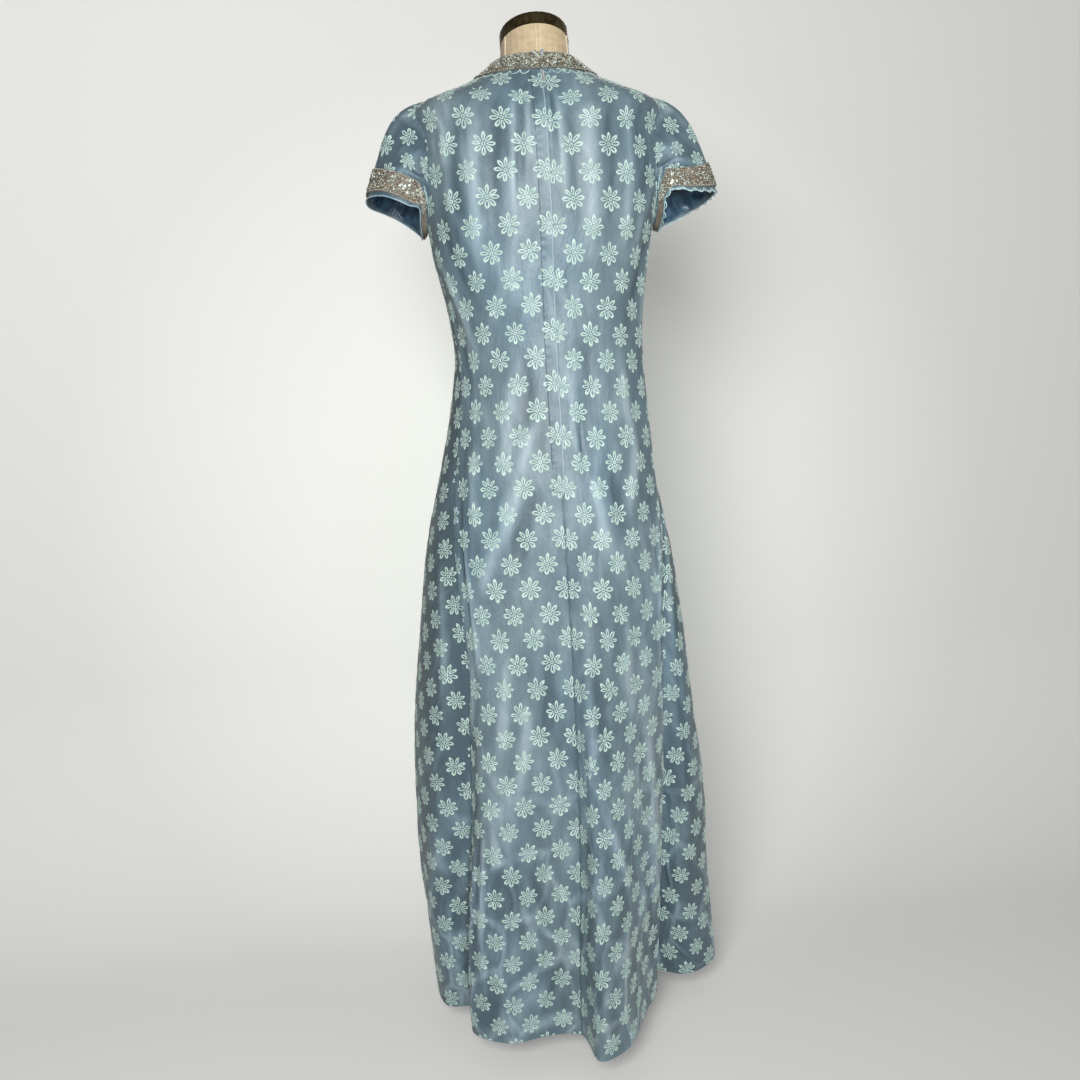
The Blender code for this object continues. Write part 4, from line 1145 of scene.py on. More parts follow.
def make_materials():
    made = {
        "cloth": cloth_material(
            "floral_satin", (0.088, 0.132, 0.156), (0.166, 0.238, 0.272), (0.33, 0.42, 0.46), 0.08, 0.40
        ),
        "inside": satin_material("inner_satin", (0.08, 0.13, 0.17), (0.18, 0.27, 0.32), 0.45),
        "satin": satin_material("blue_satin", (0.024, 0.075, 0.150), (0.110, 0.240, 0.370), 0.30),
        "thread": thread_material("mint_floss", (0.44, 0.61, 0.54), (0.66, 0.83, 0.76)),
        "piping": satin_material("pale_piping", (0.22, 0.36, 0.46), (0.46, 0.62, 0.70), 0.4),
        "tape": rigid_material(
            "braid_canvas", (0.12, 0.115, 0.090), (0.28, 0.27, 0.22), 500.0, 0.0, 0.75, 1.0, 0.6
        ),
        "turning": rigid_material(
            "turned_braid", (0.150, 0.122, 0.094), (0.320, 0.262, 0.205), 500.0, 0.0, 0.75, 1.0, 0.5
        ),
        "silver": bead_material("silver_beads", (0.54, 0.56, 0.50), 0.5, 0.30),
        "champagne": bead_material("champagne_beads", (0.50, 0.42, 0.28), 0.5, 0.32),
        "bronze": bead_material("bronze_beads", (0.20, 0.150, 0.100), 0.5, 0.34),
        "pearl": bead_material("pearl_sequins", (0.62, 0.66, 0.58), 0.35, 0.26),
        "linen": linen_material("woven_linen", (0.55, 0.42, 0.26), (0.76, 0.595, 0.375)),
        "welt": linen_material("linen_welt", (0.72, 0.60, 0.43), (0.93, 0.80, 0.60)),
        "brass": rigid_material(
            "aged_bronze", (0.072, 0.050, 0.027), (0.31, 0.24, 0.115), 160.0, 1.0, 0.34, 0.2
        ),
        "steel": rigid_material(
            "brushed_steel", (0.40, 0.40, 0.40), (0.62, 0.62, 0.61), 220.0, 1.0, 0.32, 0.1
        ),
        "iron": rigid_material(
            "cast_iron", (0.018, 0.018, 0.020), (0.050, 0.050, 0.052), 240.0, 0.4, 0.52, 1.0, 0.5
        ),
        "zip": rigid_material("zip_nickel", (0.72, 0.71, 0.64), (0.95, 0.94, 0.88), 700.0, 0.5, 0.30),
        "ribbon": rigid_material(
            "zip_ribbon", (0.10, 0.18, 0.23), (0.20, 0.32, 0.38), 600.0, 0.0, 0.8, 0.2, 0.5
        ),
    }
    return made


def make_body(paint):
    """The front and the two backs, with their daisies. Returns what places the left back on the flat cloth,
    and how far up it one of its daisies lies."""
    heights = body_heights()
    whole = len(FOLDS)
    centre = np.zeros_like(heights)
    find_right = body_flat(0.0, 5.6, 44, 0.0)
    find_left = body_flat(19.4, 24.6, 44, 24.0)
    find_front = body_flat(4.6, 20.4, 110, 12.5)
    right_up = find_right(0.0, DAISY_HEIGHT)[1]
    left_up = find_left(24.0, DAISY_HEIGHT)[1]
    back_right, back_left = side_edges(heights, True), left_side_edges(heights, True)
    front_right, front_left = side_edges(heights, False), left_side_edges(heights, False)
    parts = [
        ("back_right", centre, back_right, 62, find_right, RIGHT_ACROSS, right_up - 0.004, 11),
        ("front", front_right, front_left, 152, find_front, 0.0, 0.030, 12),
        ("back_left", back_left, centre + whole, 54, find_left, LEFT_ACROSS, left_up, 13),
    ]
    for name, first, last, count, find, across, up, seed in parts:
        cloth = body_cloth(name, first, last, heights, count, find, seed)
        panel = shell(f"{name}_cloth", cloth, CLOTH, paint["cloth"], paint["inside"])
        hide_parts(name)
        if name == "front":
            halves = (("right", -1), ("left", 1))
            flowers = [
                weave_daisies(
                    f"front_daisies_{side}", cloth, across, up, paint["thread"], seed + 20, side=sign
                )
                for side, sign in halves
            ]
        else:
            flowers = [weave_daisies(f"{name}_daisies", cloth, across, up, paint["thread"], seed + 20)]
    return find_left, left_up


def column_at_x(x, height):
    """The back column where the bodice lies at x."""
    columns = np.linspace(-2.5, 2.5, 501)
    across = body_point(columns % len(FOLDS), np.full_like(columns, height))[:, 0]
    return float(np.interp(x, across, columns))


def lap_edges(height):
    """How far across the back the lap's stitched side and its folded edge lie at a height."""
    share = (height - ZIP_BOTTOM) / (NECK_BASE - ZIP_BOTTOM)
    return [low + (high - low) * share for low, high in zip(ZIP_LAP_BOTTOM, ZIP_LAP_TOP)]


# How high the lap lies over the back, in millimetres, at shares of its way from the stitches to the fold
LAP_SHARES = [0.0, 0.06, 0.14, 0.26, 0.42, 0.58, 0.72, 0.84, 0.90, 0.94, 0.97, 0.99, 1.0]
LAP_LIFTS = [0.35, 0.95, 0.75, 1.10, 1.20, 1.20, 1.25, 1.45, 1.75, 1.95, 1.90, 1.55, 0.95]


def make_zip(paint, find_left, left_up):
    """The folded lap that covers the zip, its daisies, and the zip's tape and teeth behind it."""
    heights = np.linspace(ZIP_BOTTOM, NECK_BASE - 0.0012, 250)
    shares = np.array(LAP_SHARES)
    columns = np.empty((len(heights), len(shares)))
    for row, height in enumerate(heights):
        left, right = lap_edges(height)
        columns[row] = [column_at_x(left + (right - left) * share, height) for share in shares]
    levels = np.broadcast_to(heights[:, None], columns.shape)
    points = body_point(columns % len(FOLDS), levels)
    _, _, normal = body_slopes(columns % len(FOLDS), levels)
    rise = heights[:, None]
    pucker = np.sin(rise * 560 + 2 * np.sin(rise * 61)) * (0.5 + 0.5 * np.sin(rise * 47 + 1.0))
    near_stitches = np.exp(-(((shares - 0.12) / 0.34) ** 2))
    lift = np.array(LAP_LIFTS) / 1000 + pucker * near_stitches * 0.00042
    lift = lift + 0.00035 * np.sin(rise * 130 + shares * 2.0)
    points = points + normal * lift[..., None]
    # Painted light and shade: the lap is painted darker by its stitches, lighter along its folded edge, and
    # light and dark over its puckers
    ridge = np.interp(shares, [0, 0.10, 0.5, 0.86, 0.95, 1.0], [-1.2, -0.2, 0.0, 0.3, 3.0, 2.2])
    ridge = ridge + pucker * near_stitches * 0.5
    flat = find_left(columns + 24, levels)
    cloth = Cloth(points, grid_normals(points, normal), flat, ridge)
    lap = shell("zip_lap_cloth", cloth, LAP_WALL, paint["cloth"], paint["cloth"])
    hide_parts("zip_lap")
    flowers = weave_daisies("zip_lap_daisies", cloth, LEFT_ACROSS, left_up, paint["thread"], 44)

    heights = np.linspace(ZIP_BOTTOM, NECK_BASE - 0.001, 120)
    across = np.linspace(-0.013, 0.013, 7)
    columns = np.array([[column_at_x(x, height) for x in across] for height in heights])
    levels = np.broadcast_to(heights[:, None], columns.shape)
    points = body_point(columns % len(FOLDS), levels)
    _, _, normal = body_slopes(columns % len(FOLDS), levels)
    points = points - normal * 0.0030
    flat = np.stack([np.broadcast_to(across, levels.shape), levels - ZIP_BOTTOM], axis=-1)
    tape = Cloth(points, normal, flat, np.zeros(levels.shape))
    ribbon = shell("zip_tape_cloth", tape, RIBBON_WALL, paint["ribbon"], paint["ribbon"])
    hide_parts("zip_tape")
    block = np.array([(x, y, z) for x in (-1, 1) for y in (-1, 1) for z in (-1, 1)], float)
    sides = np.array([(0, 1, 3, 2), (4, 6, 7, 5), (0, 4, 5, 1), (2, 3, 7, 6), (0, 2, 6, 4), (1, 5, 7, 3)])
    points, faces = [], []
    for number, height in enumerate(np.arange(ZIP_BOTTOM + 0.006, NECK_BASE - 0.012, 0.0024)):
        row = np.interp(height, heights, np.arange(len(heights)))
        column = 3.0 + (0.22 if number % 2 else -0.22)
        spot = read_grid(tape.points, np.array([row]), np.array([column]))[0]
        spot = spot - read_grid(tape.normals, np.array([row]), np.array([column]))[0] * 0.0011
        points.append(spot + block * np.array([0.0016, 0.0004, 0.0007]))
        faces.append(sides + number * 8)
    points, faces = np.concatenate(points), np.concatenate(faces)
    teeth = make_piece("zip_teeth", points, faces, [paint["zip"]], sharp=30)


# Shares of the way down the sleeve at which its points lie, and the creases of the wearer's right sleeve:
# place round the armhole from the underarm by the back, as a share, way down the sleeve, half width, height
SLEEVE_FOLDS = [
    (0.10, 0.05, 0.16, 0.90, 6.0, 1.5),
    (0.20, 0.02, 0.24, 0.70, 5.0, -1.4),
    (0.27, 0.03, 0.30, 0.80, 6.0, 1.4),
    (0.36, 0.02, 0.37, 0.62, 6.0, -1.1),
    (0.43, 0.00, 0.44, 0.55, 5.0, 1.3),
    (0.55, 0.00, 0.54, 0.55, 5.0, 1.2),
    (0.64, 0.02, 0.62, 0.70, 6.0, -1.3),
    (0.73, 0.03, 0.70, 0.80, 6.0, 1.4),
    (0.84, 0.04, 0.80, 0.88, 6.0, -1.2),
    (0.92, 0.06, 0.88, 0.86, 6.0, 1.4),
]
ARMHOLE_KEYS = [UNDERARM, 1.252, 1.275, 1.300, 1.325, 1.350, 1.373, 1.392, SHOULDER]


def round_curve(values, turns):
    """A smooth closed curve through rows of values, read at turns counted in rows."""
    low = turns.astype(int)
    part = (turns - low)[:, None]
    before, start, end, after = (values[(low + step) % len(values)] for step in (-1, 0, 1, 2))
    lead, trail = (end - before) / 2, (after - start) / 2
    return (
        (2 * part**3 - 3 * part**2 + 1) * start
        + (part**3 - 2 * part**2 + part) * lead
        + (3 * part**2 - 2 * part**3) * end
        + (part**3 - part**2) * trail
    )


def sleeve_surface(side, downs, count):
    """(points, outward normals) of a sleeve as on the wearer's right, in rows closed round the arm. downs
    says where each row lies: 0 at the armhole, 1 and 2 at the braid's upper and lower edge, 3 at the hem."""
    half = count // 2
    keys = np.array(ARMHOLE_KEYS)
    slopes = np.gradient(keys)
    slopes[0] = slopes[-1] = 0.0
    heights = cubic(np.linspace(0, 8, half + 1), np.arange(9.0), keys, slopes)
    columns = np.concatenate([side_edges(heights, True), side_edges(heights, False)[-2:0:-1]])
    levels = np.concatenate([heights, heights[-2:0:-1]])
    start = body_point(columns, levels)
    _, _, body_normal = body_slopes(columns, levels)
    centre = start.mean(axis=0)
    along = np.roll(start, -1, axis=0) - np.roll(start, 1, axis=0)
    inward = np.cross(body_normal, along)
    inward /= np.linalg.norm(inward, axis=1, keepdims=True)
    inward *= np.sign(np.sum(inward * (centre - start), axis=1))[:, None]
    # Without this the rows from the two sides of the armhole cross at the head
    from_head = np.abs(np.arange(-HEAD_REACH, HEAD_REACH + 1)) / HEAD_REACH
    inward[half - HEAD_REACH : half + HEAD_REACH + 1, 1] *= from_head**1.5
    start = start - inward * 0.0004 - body_normal * 0.0003

    angle = 2 * math.pi * np.arange(count) / count
    hem = np.array([(getattr(row, f"{side}_x"), row.y, getattr(row, f"{side}_z")) for row in SLEEVE_HEM])
    end = round_curve(hem, np.arange(count) / count * len(hem))
    headward = ((1 - np.cos(angle)) / 2)[:, None]
    reach = np.linalg.norm(end - start, axis=1)[:, None]
    leave = inward * 0.55 + np.array([0.9, 0, 0.15]) * (1 - 0.5 * headward)
    leave /= np.linalg.norm(leave, axis=1, keepdims=True)
    arrive = np.array([0.80, 0, -0.30]) * (1 - headward) + np.array([0.36, 0, -0.93]) * headward
    first = start + leave * reach * (0.25 + 0.12 * headward)
    second = end - arrive * reach * (0.25 + 0.25 * headward)
    top = 1 - np.minimum(BRAID_TOP / reach, BRAID_TOP_MOST)
    foot = 1 - np.minimum(BRAID_FOOT / reach, BRAID_FOOT_MOST)
    down = np.asarray(downs)[:, None, None]
    to_braid, on_braid, to_hem = np.minimum(down, 1), np.clip(down - 1, 0, 1), np.clip(down - 2, 0, 1)
    share = top * to_braid + (foot - top) * on_braid + (1 - foot) * to_hem
    rest = 1 - share
    points = rest**3 * start + 3 * rest**2 * share * first + 3 * rest * share**2 * second + share**3 * end
    slope = 3 * rest**2 * (first - start) + 6 * rest * share * (second - first)
    slope = slope + 3 * share**2 * (end - second)
    normal = np.cross(slope, np.roll(points, -1, axis=1) - np.roll(points, 1, axis=1))
    normal /= np.linalg.norm(normal, axis=-1, keepdims=True)
    normal *= np.sign(np.sum(normal * (points - points.mean(axis=1, keepdims=True))))
    settle = smooth_step(share * 3)
    normal = body_normal[None] * (1 - settle) + normal * settle
    normal /= np.linalg.norm(normal, axis=-1, keepdims=True)
    return points, normal


def closed_flat(points):
    """The flat cloth of a sleeve, cut open at the underarm, without the doubled last column."""
    opened = np.concatenate([points, points[:, :1]], axis=1)
    return lay_flat(opened, 500)


SLEEVE_POINTS = 128  # points round a sleeve
HEAD_REACH = 12  # points to each side of the sleeve's head over which its rows are kept apart
# Where the rows of points of the sleeve, its lining and its braid lie, as in sleeve_surface
SLEEVE_DOWNS = np.concatenate([[0, 0.02, 0.05, 0.09], np.linspace(0.13, 1.0, 32), np.linspace(1.1, 3.0, 12)])
LINING_DOWNS = np.concatenate([np.linspace(0.6, 1.0, 14), np.linspace(1.08, 2.0, 15)])
BRAID_DOWNS = np.linspace(1.0, 2.0, 7)


def make_sleeves(paint):
    for side, sign in (("right", 1.0), ("left", -1.0)):
        mirror = np.array([sign, 1.0, 1.0])
        whole = sleeve_cloth(side, mirror)
        cloth = Cloth(*(grid[:, :-1] for grid in whole))
        sleeve = shell(
            f"sleeve_{side}_cloth", cloth, CLOTH, paint["cloth"], paint["inside"], closed=True
        )
        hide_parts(f"sleeve_{side}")
        flowers = weave_daisies(
            f"sleeve_{side}_daisies", whole, 0.004 * sign, 0.046, paint["thread"], 60 + int(sign), below=1.0
        )

        inner = lining_cloth(side, mirror)
        name, satin = f"sleeve_lining_{side}_cloth", paint["satin"]
        lining = shell(name, inner, LINING_WALL, satin, satin, closed=True)
        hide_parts(f"sleeve_lining_{side}")

        points, normal = sleeve_surface(side, BRAID_DOWNS, SLEEVE_POINTS)
        points = points + normal * 0.0011
        flat = closed_flat(points)[:, :-1]
        tape = Cloth(points * mirror, normal * mirror, flat, np.zeros(points.shape[:2]))
        name, turning = f"cuff_band_{side}_tape", paint["turning"]
        band = shell(name, tape, BRAID_WALL, turning, turning, closed=True)
        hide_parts(f"cuff_band_{side}")
        made, faces, picks = beads_on(tape.points, tape.normals, True, cuff_pattern, 80 + int(sign))
        beads = make_piece(
            f"cuff_beads_{side}", made, faces, bead_finishes(paint), picks, sharp=0
        )
        trim_sleeve(side, mirror, paint)


def sleeve_cloth(side, mirror):
    """A sleeve's cloth with its creases, cut open at the underarm: its last column is its first."""
    points, normal = sleeve_surface(side, SLEEVE_DOWNS, SLEEVE_POINTS)
    shift, ridge = np.zeros(points.shape[:2]), np.zeros(points.shape[:2])
    for start, top, end, low, wide, high in SLEEVE_FOLDS:
        row = np.interp(np.linspace(top, low, 12) * 1.35, SLEEVE_DOWNS, np.arange(len(SLEEVE_DOWNS)))
        track = read_grid(points, row, np.linspace(start, end, 12) * SLEEVE_POINTS)
        add_ridge(points, track, wide / 1000, high / 1000, shift, ridge)
    for seed in range(10):
        swing = np.random.default_rng(seed + 70).normal(size=3) * 48.0
        shift += np.sin(points @ swing + seed) * 0.00014
    by_braid = smooth_step((SLEEVE_DOWNS - 0.85) / 0.15)[:, None]
    fade = smooth_step(SLEEVE_DOWNS / 0.12)[:, None] * (1 - 0.8 * by_braid)
    points = points + normal * (shift * fade)[..., None]
    normal = grid_normals(points, normal, closed=True)
    grids = (points * mirror, normal * mirror, ridge * fade)
    opened = (np.concatenate([grid, grid[:, :1]], axis=1) for grid in grids)
    points, normal, ridge = opened
    # The ridge value paints light on the sleeve's creases and shade in their troughs; both sleeves are also
    # painted darker as shade, the left one more
    return Cloth(points, normal, lay_flat(points, 500), ridge - (1.2 if side == "left" else 0.6))


def lining_cloth(side, mirror):
    """The crumpled satin inside a sleeve, a little under its cloth."""
    points, normal = sleeve_surface(side, LINING_DOWNS, SLEEVE_POINTS)
    crush = np.zeros(points.shape[:2])
    chance = np.random.default_rng(5)
    for _ in range(26):
        swing = chance.normal(size=3) * np.array([150.0, 150.0, 120.0])
        crush += np.sin(points @ swing + chance.uniform(0, 6.3))
    crush = np.clip(np.abs(crush) / 4.0, 0, 2.0)
    loose = 0.0030 * (1 - smooth_step((LINING_DOWNS - 0.7) / 0.3))[:, None]
    points = points - normal * (CLOTH + 0.0010 + 0.0011 * crush + loose)[..., None]
    return Cloth(points * mirror, normal * mirror, closed_flat(points)[:, :-1], np.clip(1 - crush, -1, 1))


def trim_sleeve(side, mirror, paint):
    """The thin cord along a sleeve's hem, with the scallops that hang under the right one."""
    points, normal = sleeve_surface(side, [0.90, 1.0, 2.0, 3.0], SLEEVE_POINTS)
    points, normal = (np.concatenate([grid, grid[:, :1]], axis=1) * mirror for grid in (points, normal))
    hem = points[3][:-1] - np.array([0, 0, 0.0008])
    tube(f"cuff_piping_{side}", hem, 0.0010, paint["piping"])
    if side == "right":
        middles, outs = arcs_below(points[3], normal[3], points[3] - points[2], 0.0165, 0.0062, -0.0028)
        ribbon_arcs(f"cuff_scallops_{side}", middles, outs, paint["thread"])


def bead_finishes(paint):
    return [paint[name] for name in ("tape", "silver", "champagne", "bronze", "pearl")]


def tube(name, line, radius, material, closed=True, sides=6, wobble=0.12):
    """A round cord along a line of points."""
    line = np.asarray(line)
    count = len(line)
    ahead = np.roll(line, -1, axis=0) - np.roll(line, 1, axis=0) if closed else np.gradient(line, axis=0)
    ahead /= np.linalg.norm(ahead, axis=1, keepdims=True)
    guide = np.array([0.0, 0.3, 1.0]) if abs(ahead[:, 2]).mean() < 0.7 else np.array([0.0, 1.0, 0.1])
    side = np.cross(ahead, guide)
    side /= np.linalg.norm(side, axis=1, keepdims=True)
    up = np.cross(side, ahead)
    swell = radius * (1 + wobble * np.sin(np.arange(count) * 2.1) * np.sin(np.arange(count) * 0.37))
    angle = 2 * math.pi * np.arange(sides) / sides
    rings = line[:, None] + swell[:, None, None] * (
        np.cos(angle)[None, :, None] * side[:, None] + np.sin(angle)[None, :, None] * up[:, None]
    )
    faces = grid_faces(sides, count, closed)
    points = rings.transpose(1, 0, 2).reshape(-1, 3)
    last = grid_faces(2, count, closed)
    last = np.where(last >= count, last - count, last + (sides - 1) * count)
    faces = np.concatenate([faces, last])
    length = np.concatenate([[0], np.cumsum(np.linalg.norm(np.diff(line, axis=0), axis=1))])
    flat = np.broadcast_arrays(length[None, :], np.linspace(0, 0.005, sides)[:, None])
    flat = np.stack(flat, axis=-1).reshape(-1, 2)
    return make_piece(name, points, faces, [material], flat=flat, sharp=0)


def ribbon_arcs(name, middles, outs, material, half=0.0007):
    """Flat threads along lines of points, joined in one mesh. outs are the normals of what they lie on."""
    points, faces, total = [], [], 0
    for line, out in zip(middles, outs):
        ahead = np.gradient(line, axis=0)
        side = np.cross(out, ahead)
        side /= np.linalg.norm(side, axis=1, keepdims=True) + 1e-12
        edge, lift = side * half, out * 0.0002
        rows = np.stack([line - edge + lift, line + out * 0.0008, line + edge + lift])
        points.append(rows.reshape(-1, 3))
        faces.append(grid_faces(3, len(line), start=total))
        total += 3 * len(line)
    return make_piece(name, np.concatenate(points), np.concatenate(faces), [material], sharp=0)


def arcs_below(base, out, down, width, drop, inset):
    """Small hanging arcs under a line of points. down leads along the cloth away from the line."""
    length = np.concatenate([[0], np.cumsum(np.linalg.norm(np.diff(base, axis=0), axis=1))])
    middles, outs = [], []
    count = int(length[-1] / width)
    for number in range(count):
        share = np.linspace(0, 1, 9)
        along = (number + 0.04 + 0.92 * share) * width
        place = np.stack([np.interp(along, length, base[:, i]) for i in range(3)], axis=-1)
        face = np.stack([np.interp(along, length, out[:, i]) for i in range(3)], axis=-1)
        lead = np.stack([np.interp(along, length, down[:, i]) for i in range(3)], axis=-1)
        lead /= np.linalg.norm(lead, axis=1, keepdims=True)
        fall = (inset + drop * np.sin(math.pi * share) ** 0.7)[:, None]
        middles.append(place + lead * fall)
        outs.append(face)
    return middles, outs


def make_neck_band(paint):
    """The beaded braid round the neckline, open at the centre back, with threads in arcs along its foot."""
    columns = np.linspace(0.03, len(FOLDS) - 0.03, 260)
    heights = np.linspace(NECK_BASE + 0.0006, NECKLINE - 0.0004, 7)
    levels = np.broadcast_to(heights[:, None], (len(heights), len(columns)))
    places = np.broadcast_to(columns[None, :], levels.shape)
    points = body_point(places, levels)
    _, _, normal = body_slopes(places, levels)
    points = points + normal * 0.0012
    cloth = Cloth(points, normal, lay_flat(points, 400), np.zeros(levels.shape))
    band = shell("neck_band_tape", cloth, BRAID_WALL, paint["tape"], paint["tape"])
    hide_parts("neck_band")
    made, faces, picks = beads_on(points, normal, False, braid_pattern, 90)
    beads = make_piece("neck_beads", made, faces, bead_finishes(paint), picks, sharp=0)

    knot_columns = np.linspace(23.50, 23.78, 9)[None, :] + np.zeros((3, 1))
    knot_heights = np.linspace(NECKLINE - 0.0035, NECKLINE - 0.0002, 3)[:, None] + np.zeros((1, 9))
    spots = body_point(knot_columns, knot_heights)
    _, _, face = body_slopes(knot_columns, knot_heights)
    made, faces, picks = beads_on(spots + face * 0.0026, face, False, knot_pattern, 91)
    make_piece("neck_bead_knot", made, faces, bead_finishes(paint), picks, sharp=0)

    foot = np.full_like(columns, NECK_BASE - 0.0002)
    base = body_point(columns, foot)
    _, _, out = body_slopes(columns, foot)
    down = body_point(columns, foot - 0.002) - base
    middles, outs = arcs_below(base, out, down, 0.0130, 0.0062, 0.0004)
    ribbon_arcs("neck_scallops", middles, outs, paint["thread"])

    loop_columns = np.linspace(0.22, 0.55, 12)
    rise = np.sin(np.linspace(0, math.pi, 12))
    loop = body_point(loop_columns, np.full(12, NECKLINE - 0.0006))
    _, _, out = body_slopes(loop_columns, np.full(12, NECKLINE - 0.001))
    loop = loop + out * 0.0020 + np.array([0, 0, 0.0022]) * rise[:, None]
    tube("neck_loop", loop, 0.0010, paint["piping"], closed=False)


def knot_pattern(length, width, chance):
    """A small heap of beads."""
    count = 26
    places = np.stack([chance.uniform(0.1, 0.9, count) * length, chance.uniform(0, 1, count)], axis=-1)
    return places, chance.choice([0, 1, 2, 6], count, p=[0.25, 0.3, 0.25, 0.2])


# The neck of the dress form: heights at back, sides and front, half sizes, and how the rings bend
FormSection = namedtuple("FormSection", "name z_back z_side z_front half back front square bend")
FORM = [
    FormSection("shoulder", 1.400, 1.4022, 1.352, 0.145, 0.086, 0.088, 2.1, 1.5),
    FormSection("neck base", 1.429, 1.4243, 1.364, 0.085, 0.061, 0.078, 2.0, 1.5),
    FormSection("neck root", 1.447, 1.444, 1.400, 0.0500, 0.050, 0.056, 2.0, 1.5),
    FormSection("neck", 1.470, 1.458, 1.440, 0.0472, 0.047, 0.048, 2.0, 1.0),
    FormSection("neck top", 1.4890, 1.4710, 1.4530, 0.0462, 0.046, 0.046, 2.0, 1.0),
]


def make_form(paint):
    """Finishes for the form and the stand, and the welts of the neck's seams."""
    finishes = {
        "form_torso": "linen",
        "neck_cap": "brass",
        "stand_pole": "steel",
        "stand_base": "iron",
        "zip_slider": "zip",
    }
    for node, finish in finishes.items():
        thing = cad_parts[node]
        for slot in thing.material_slots:
            slot.material = paint[finish]
    heights = np.linspace(1.438, 1.4704, 24)
    row = read_table(FORM, "z_side", heights)
    for number, angle in enumerate((-2.6, 4.2, 62, 118, 180, 242, 298)):
        turn = np.full_like(heights, math.radians(angle))
        line = np.stack(section_point(row, turn, row["half"], row["half"]), axis=-1)
        out = line * np.array([1, 1, 0])
        out /= np.linalg.norm(out, axis=1, keepdims=True)
        welt = line + out * 0.0002
        tube(f"neck_welt_{number + 1}", welt, 0.0010, paint["welt"], closed=False)


def make_stage():
    """A pale floor and a pale backdrop that curves up from it and is clear from behind. The backdrop has a
    pool of light painted on it and glows with it, though it is no lamp.
    """
    floor = bpy.data.meshes.new("floor")
    corners = [(-6, -6, -0.001), (6, -6, -0.001), (6, 6, -0.001), (-6, 6, -0.001)]
    floor.from_pydata(corners, [], [(0, 1, 2, 3)])
    rows = [(-1.2, 0.0005), (-0.2, 0.0005), (0.02, 0.0005)]
    bend, back = 0.42, 0.50
    for step in range(1, 17):
        angle = math.pi / 2 * step / 16
        rows.append((back - bend + bend * math.sin(angle), 0.0005 + bend * (1 - math.cos(angle))))
    rows.append((back, 3.4))
    points = [(x, y, z) for y, z in rows for x in (-3.2, 3.2)]
    sheet = bpy.data.meshes.new("backdrop")
    sheet.from_pydata(points, [], [(2 * i, 2 * i + 1, 2 * i + 3, 2 * i + 2) for i in range(len(rows) - 1)])
    sheet.shade_smooth()
    pale, tree, shader = new_material("pale_floor")
    grain = noise(tree, stretched(tree, 3.0, 3.0, "Object"), 2.0, 0.5)
    colour = ramp(tree, grain, [(0.3, (0.70, 0.70, 0.69)), (0.7, (0.73, 0.73, 0.72))])
    finish_shader(tree, shader, colour, Roughness=0.9)
    paper, tree, shader = new_material("backdrop_painted_light")
    # Painted pool of light: the backdrop is brightest round GLOW_CENTRE and darker further out
    place = add(tree, "TexCoord").outputs["Object"]
    away = add(tree, "VectorMath", {"operation": "DISTANCE"}, i0=place, i1=GLOW_CENTRE).outputs["Value"]
    share = combine(tree, "DIVIDE", away, GLOW_REACH)
    stops = [(0.0, GLOW_LIGHT), (0.35, GLOW_NEAR), (0.72, GLOW_FAR), (1.0, GLOW_EDGE)]
    glow = ramp(tree, share, stops, smooth=False)
    # The backdrop glows with its painted light, though it is no lamp
    finish_shader(tree, shader, glow, Roughness=0.95, Specular_IOR_Level=0.1, Emission_Color=glow,
                  Emission_Strength=0.22)
    clear = add(tree, "BsdfTransparent").outputs["BSDF"]
    behind = add(tree, "NewGeometry").outputs["Backfacing"]
    choice = add(tree, "MixShader", i0=behind, i1=shader.outputs["BSDF"], i2=clear)
    tree.links.new(choice.outputs["Shader"], tree.nodes["Material Output"].inputs["Surface"])
    for mesh, material in ((floor, pale), (sheet, paper)):
        mesh.materials.append(material)
        thing = bpy.data.objects.new(mesh.name, mesh)
        bpy.context.scene.collection.objects.link(thing)
    thing.visible_diffuse = False
    thing.visible_glossy = False
    thing.visible_shadow = False


# The pool of light painted on the backdrop: its bright middle and how it falls off
GLOW_CENTRE = (0.03, 0.50, 0.66)
GLOW_REACH = 1.30
GLOW_LIGHT, GLOW_NEAR = (0.92, 0.93, 0.88), (0.88, 0.885, 0.85)
GLOW_FAR, GLOW_EDGE = (0.74, 0.74, 0.725), (0.73, 0.73, 0.72)

# Lights: place, what they point at, size, power, spread in degrees and whether they light the dress or
# the backdrop
Lamp = namedtuple("Lamp", "name place target size power spread lights colour")
LAMPS = [
    Lamp("key", (-0.05, -2.4, 1.60), (0, 0.0, 0.98), 0.9, 21.5, 110, "dress", (0.98, 1.0, 1.01)),
    Lamp("fill", (1.9, -1.8, 1.4), (0, 0.0, 0.8), 1.5, 2, 180, "dress", (1.0, 0.97, 0.92)),
    Lamp("wall", (-0.67, -2.1, 1.85), (-0.05, 0.5, 0.55), 1.35, 52, 180, "backdrop", (1.0, 1.0, 0.99)),
    Lamp("front_fill", (0.4, 2.6, 2.0), (0, 0.0, 0.7), 1.8, 30, 180, "dress", (1.0, 1.0, 1.0)),
]


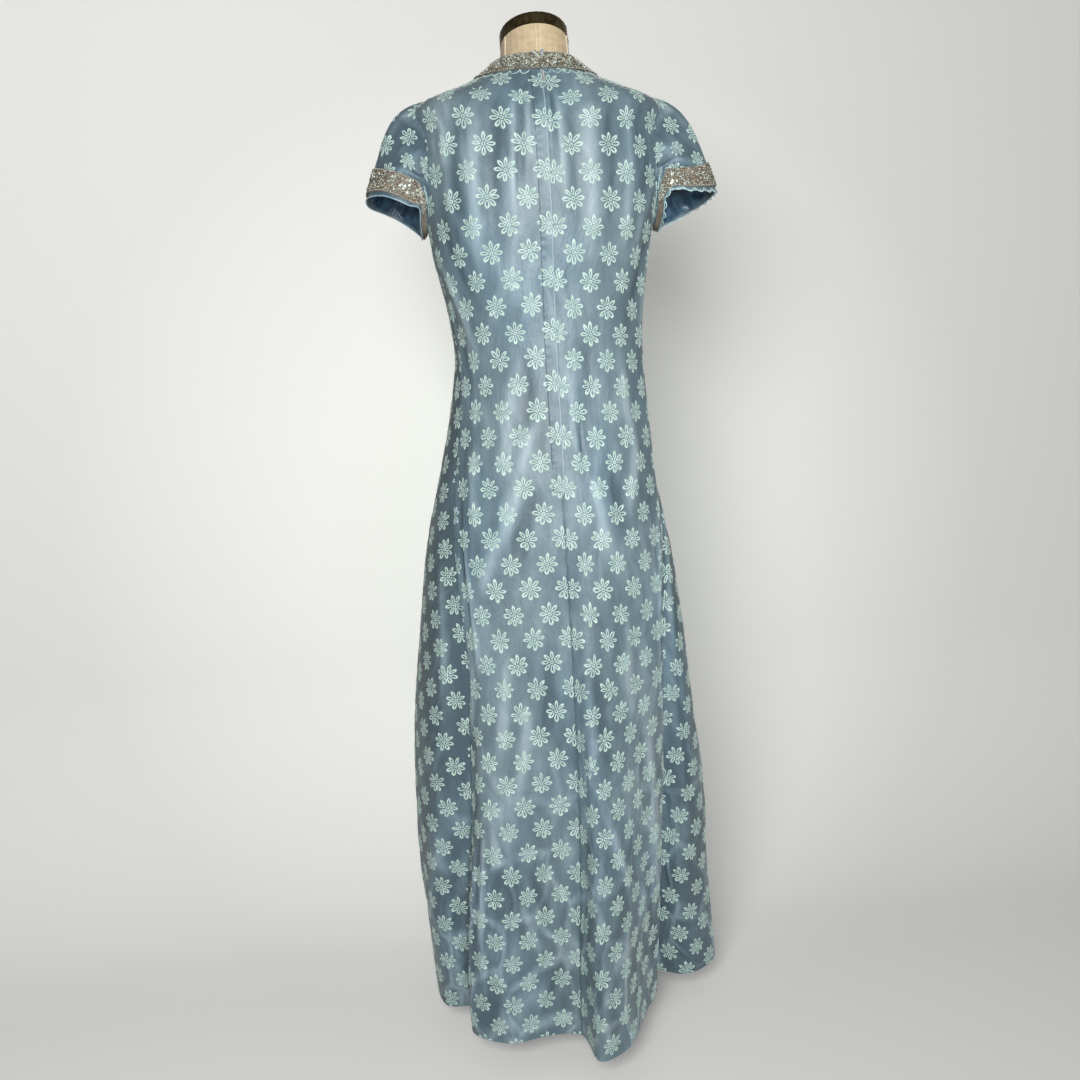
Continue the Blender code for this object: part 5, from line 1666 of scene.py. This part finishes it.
def make_lights():
    world = bpy.data.worlds.new("studio")
    world.use_nodes = True
    world.node_tree.nodes["Background"].inputs["Color"].default_value = (0.82, 0.81, 0.78, 1)
    world.node_tree.nodes["Background"].inputs["Strength"].default_value = 0.22
    bpy.context.scene.world = world
    for lamp in LAMPS:
        light = bpy.data.lights.new(lamp.name, "AREA")
        light.shape = "DISK"
        light.size = lamp.size
        light.energy = lamp.power
        light.color = lamp.colour
        light.spread = math.radians(lamp.spread)
        thing = bpy.data.objects.new(lamp.name, light)
        thing.location = lamp.place
        aim = Vector(lamp.target) - Vector(lamp.place)
        thing.rotation_euler = aim.to_track_quat("-Z", "Y").to_euler()
        bpy.context.scene.collection.objects.link(thing)
        lit = bpy.data.collections.new(f"lit_by_{lamp.name}")
        lit.objects.link(bpy.data.objects["backdrop"])
        thing.light_linking.receiver_collection = lit
        state = "EXCLUDE" if lamp.lights == "dress" else "INCLUDE"
        lit.collection_objects[0].light_linking.link_state = state


def make_camera():
    azimuth, distance, height = math.radians(-6), 1.5, 1.15
    pitch, roll, aside = math.radians(13.9), math.radians(-2.3), math.radians(0.735)
    data = bpy.data.cameras.new("camera")
    data.sensor_width = 36.0
    data.lens = 36.0 * 1013 / 1080
    camera = bpy.data.objects.new("camera", data)
    place = Vector((math.sin(azimuth) * distance, -math.cos(azimuth) * distance, height))
    turn = Matrix.Rotation(azimuth + aside, 4, "Z") @ Matrix.Rotation(math.pi / 2 - pitch, 4, "X")
    camera.matrix_world = Matrix.Translation(place) @ turn @ Matrix.Rotation(roll, 4, "Z")
    bpy.context.scene.collection.objects.link(camera)
    bpy.context.scene.camera = camera


# The height at the centre back of one daisy of each back, and how far across it lies
DAISY_HEIGHT = 1.096
RIGHT_ACROSS, LEFT_ACROSS = 0.0055, -0.0025


def main():
    bpy.context.scene.view_settings.view_transform = "Standard"
    paint = make_materials()
    find_left, left_up = make_body(paint)
    make_zip(paint, find_left, left_up)
    make_sleeves(paint)
    make_neck_band(paint)
    make_form(paint)
    make_stage()
    make_lights()
    make_camera()


main()
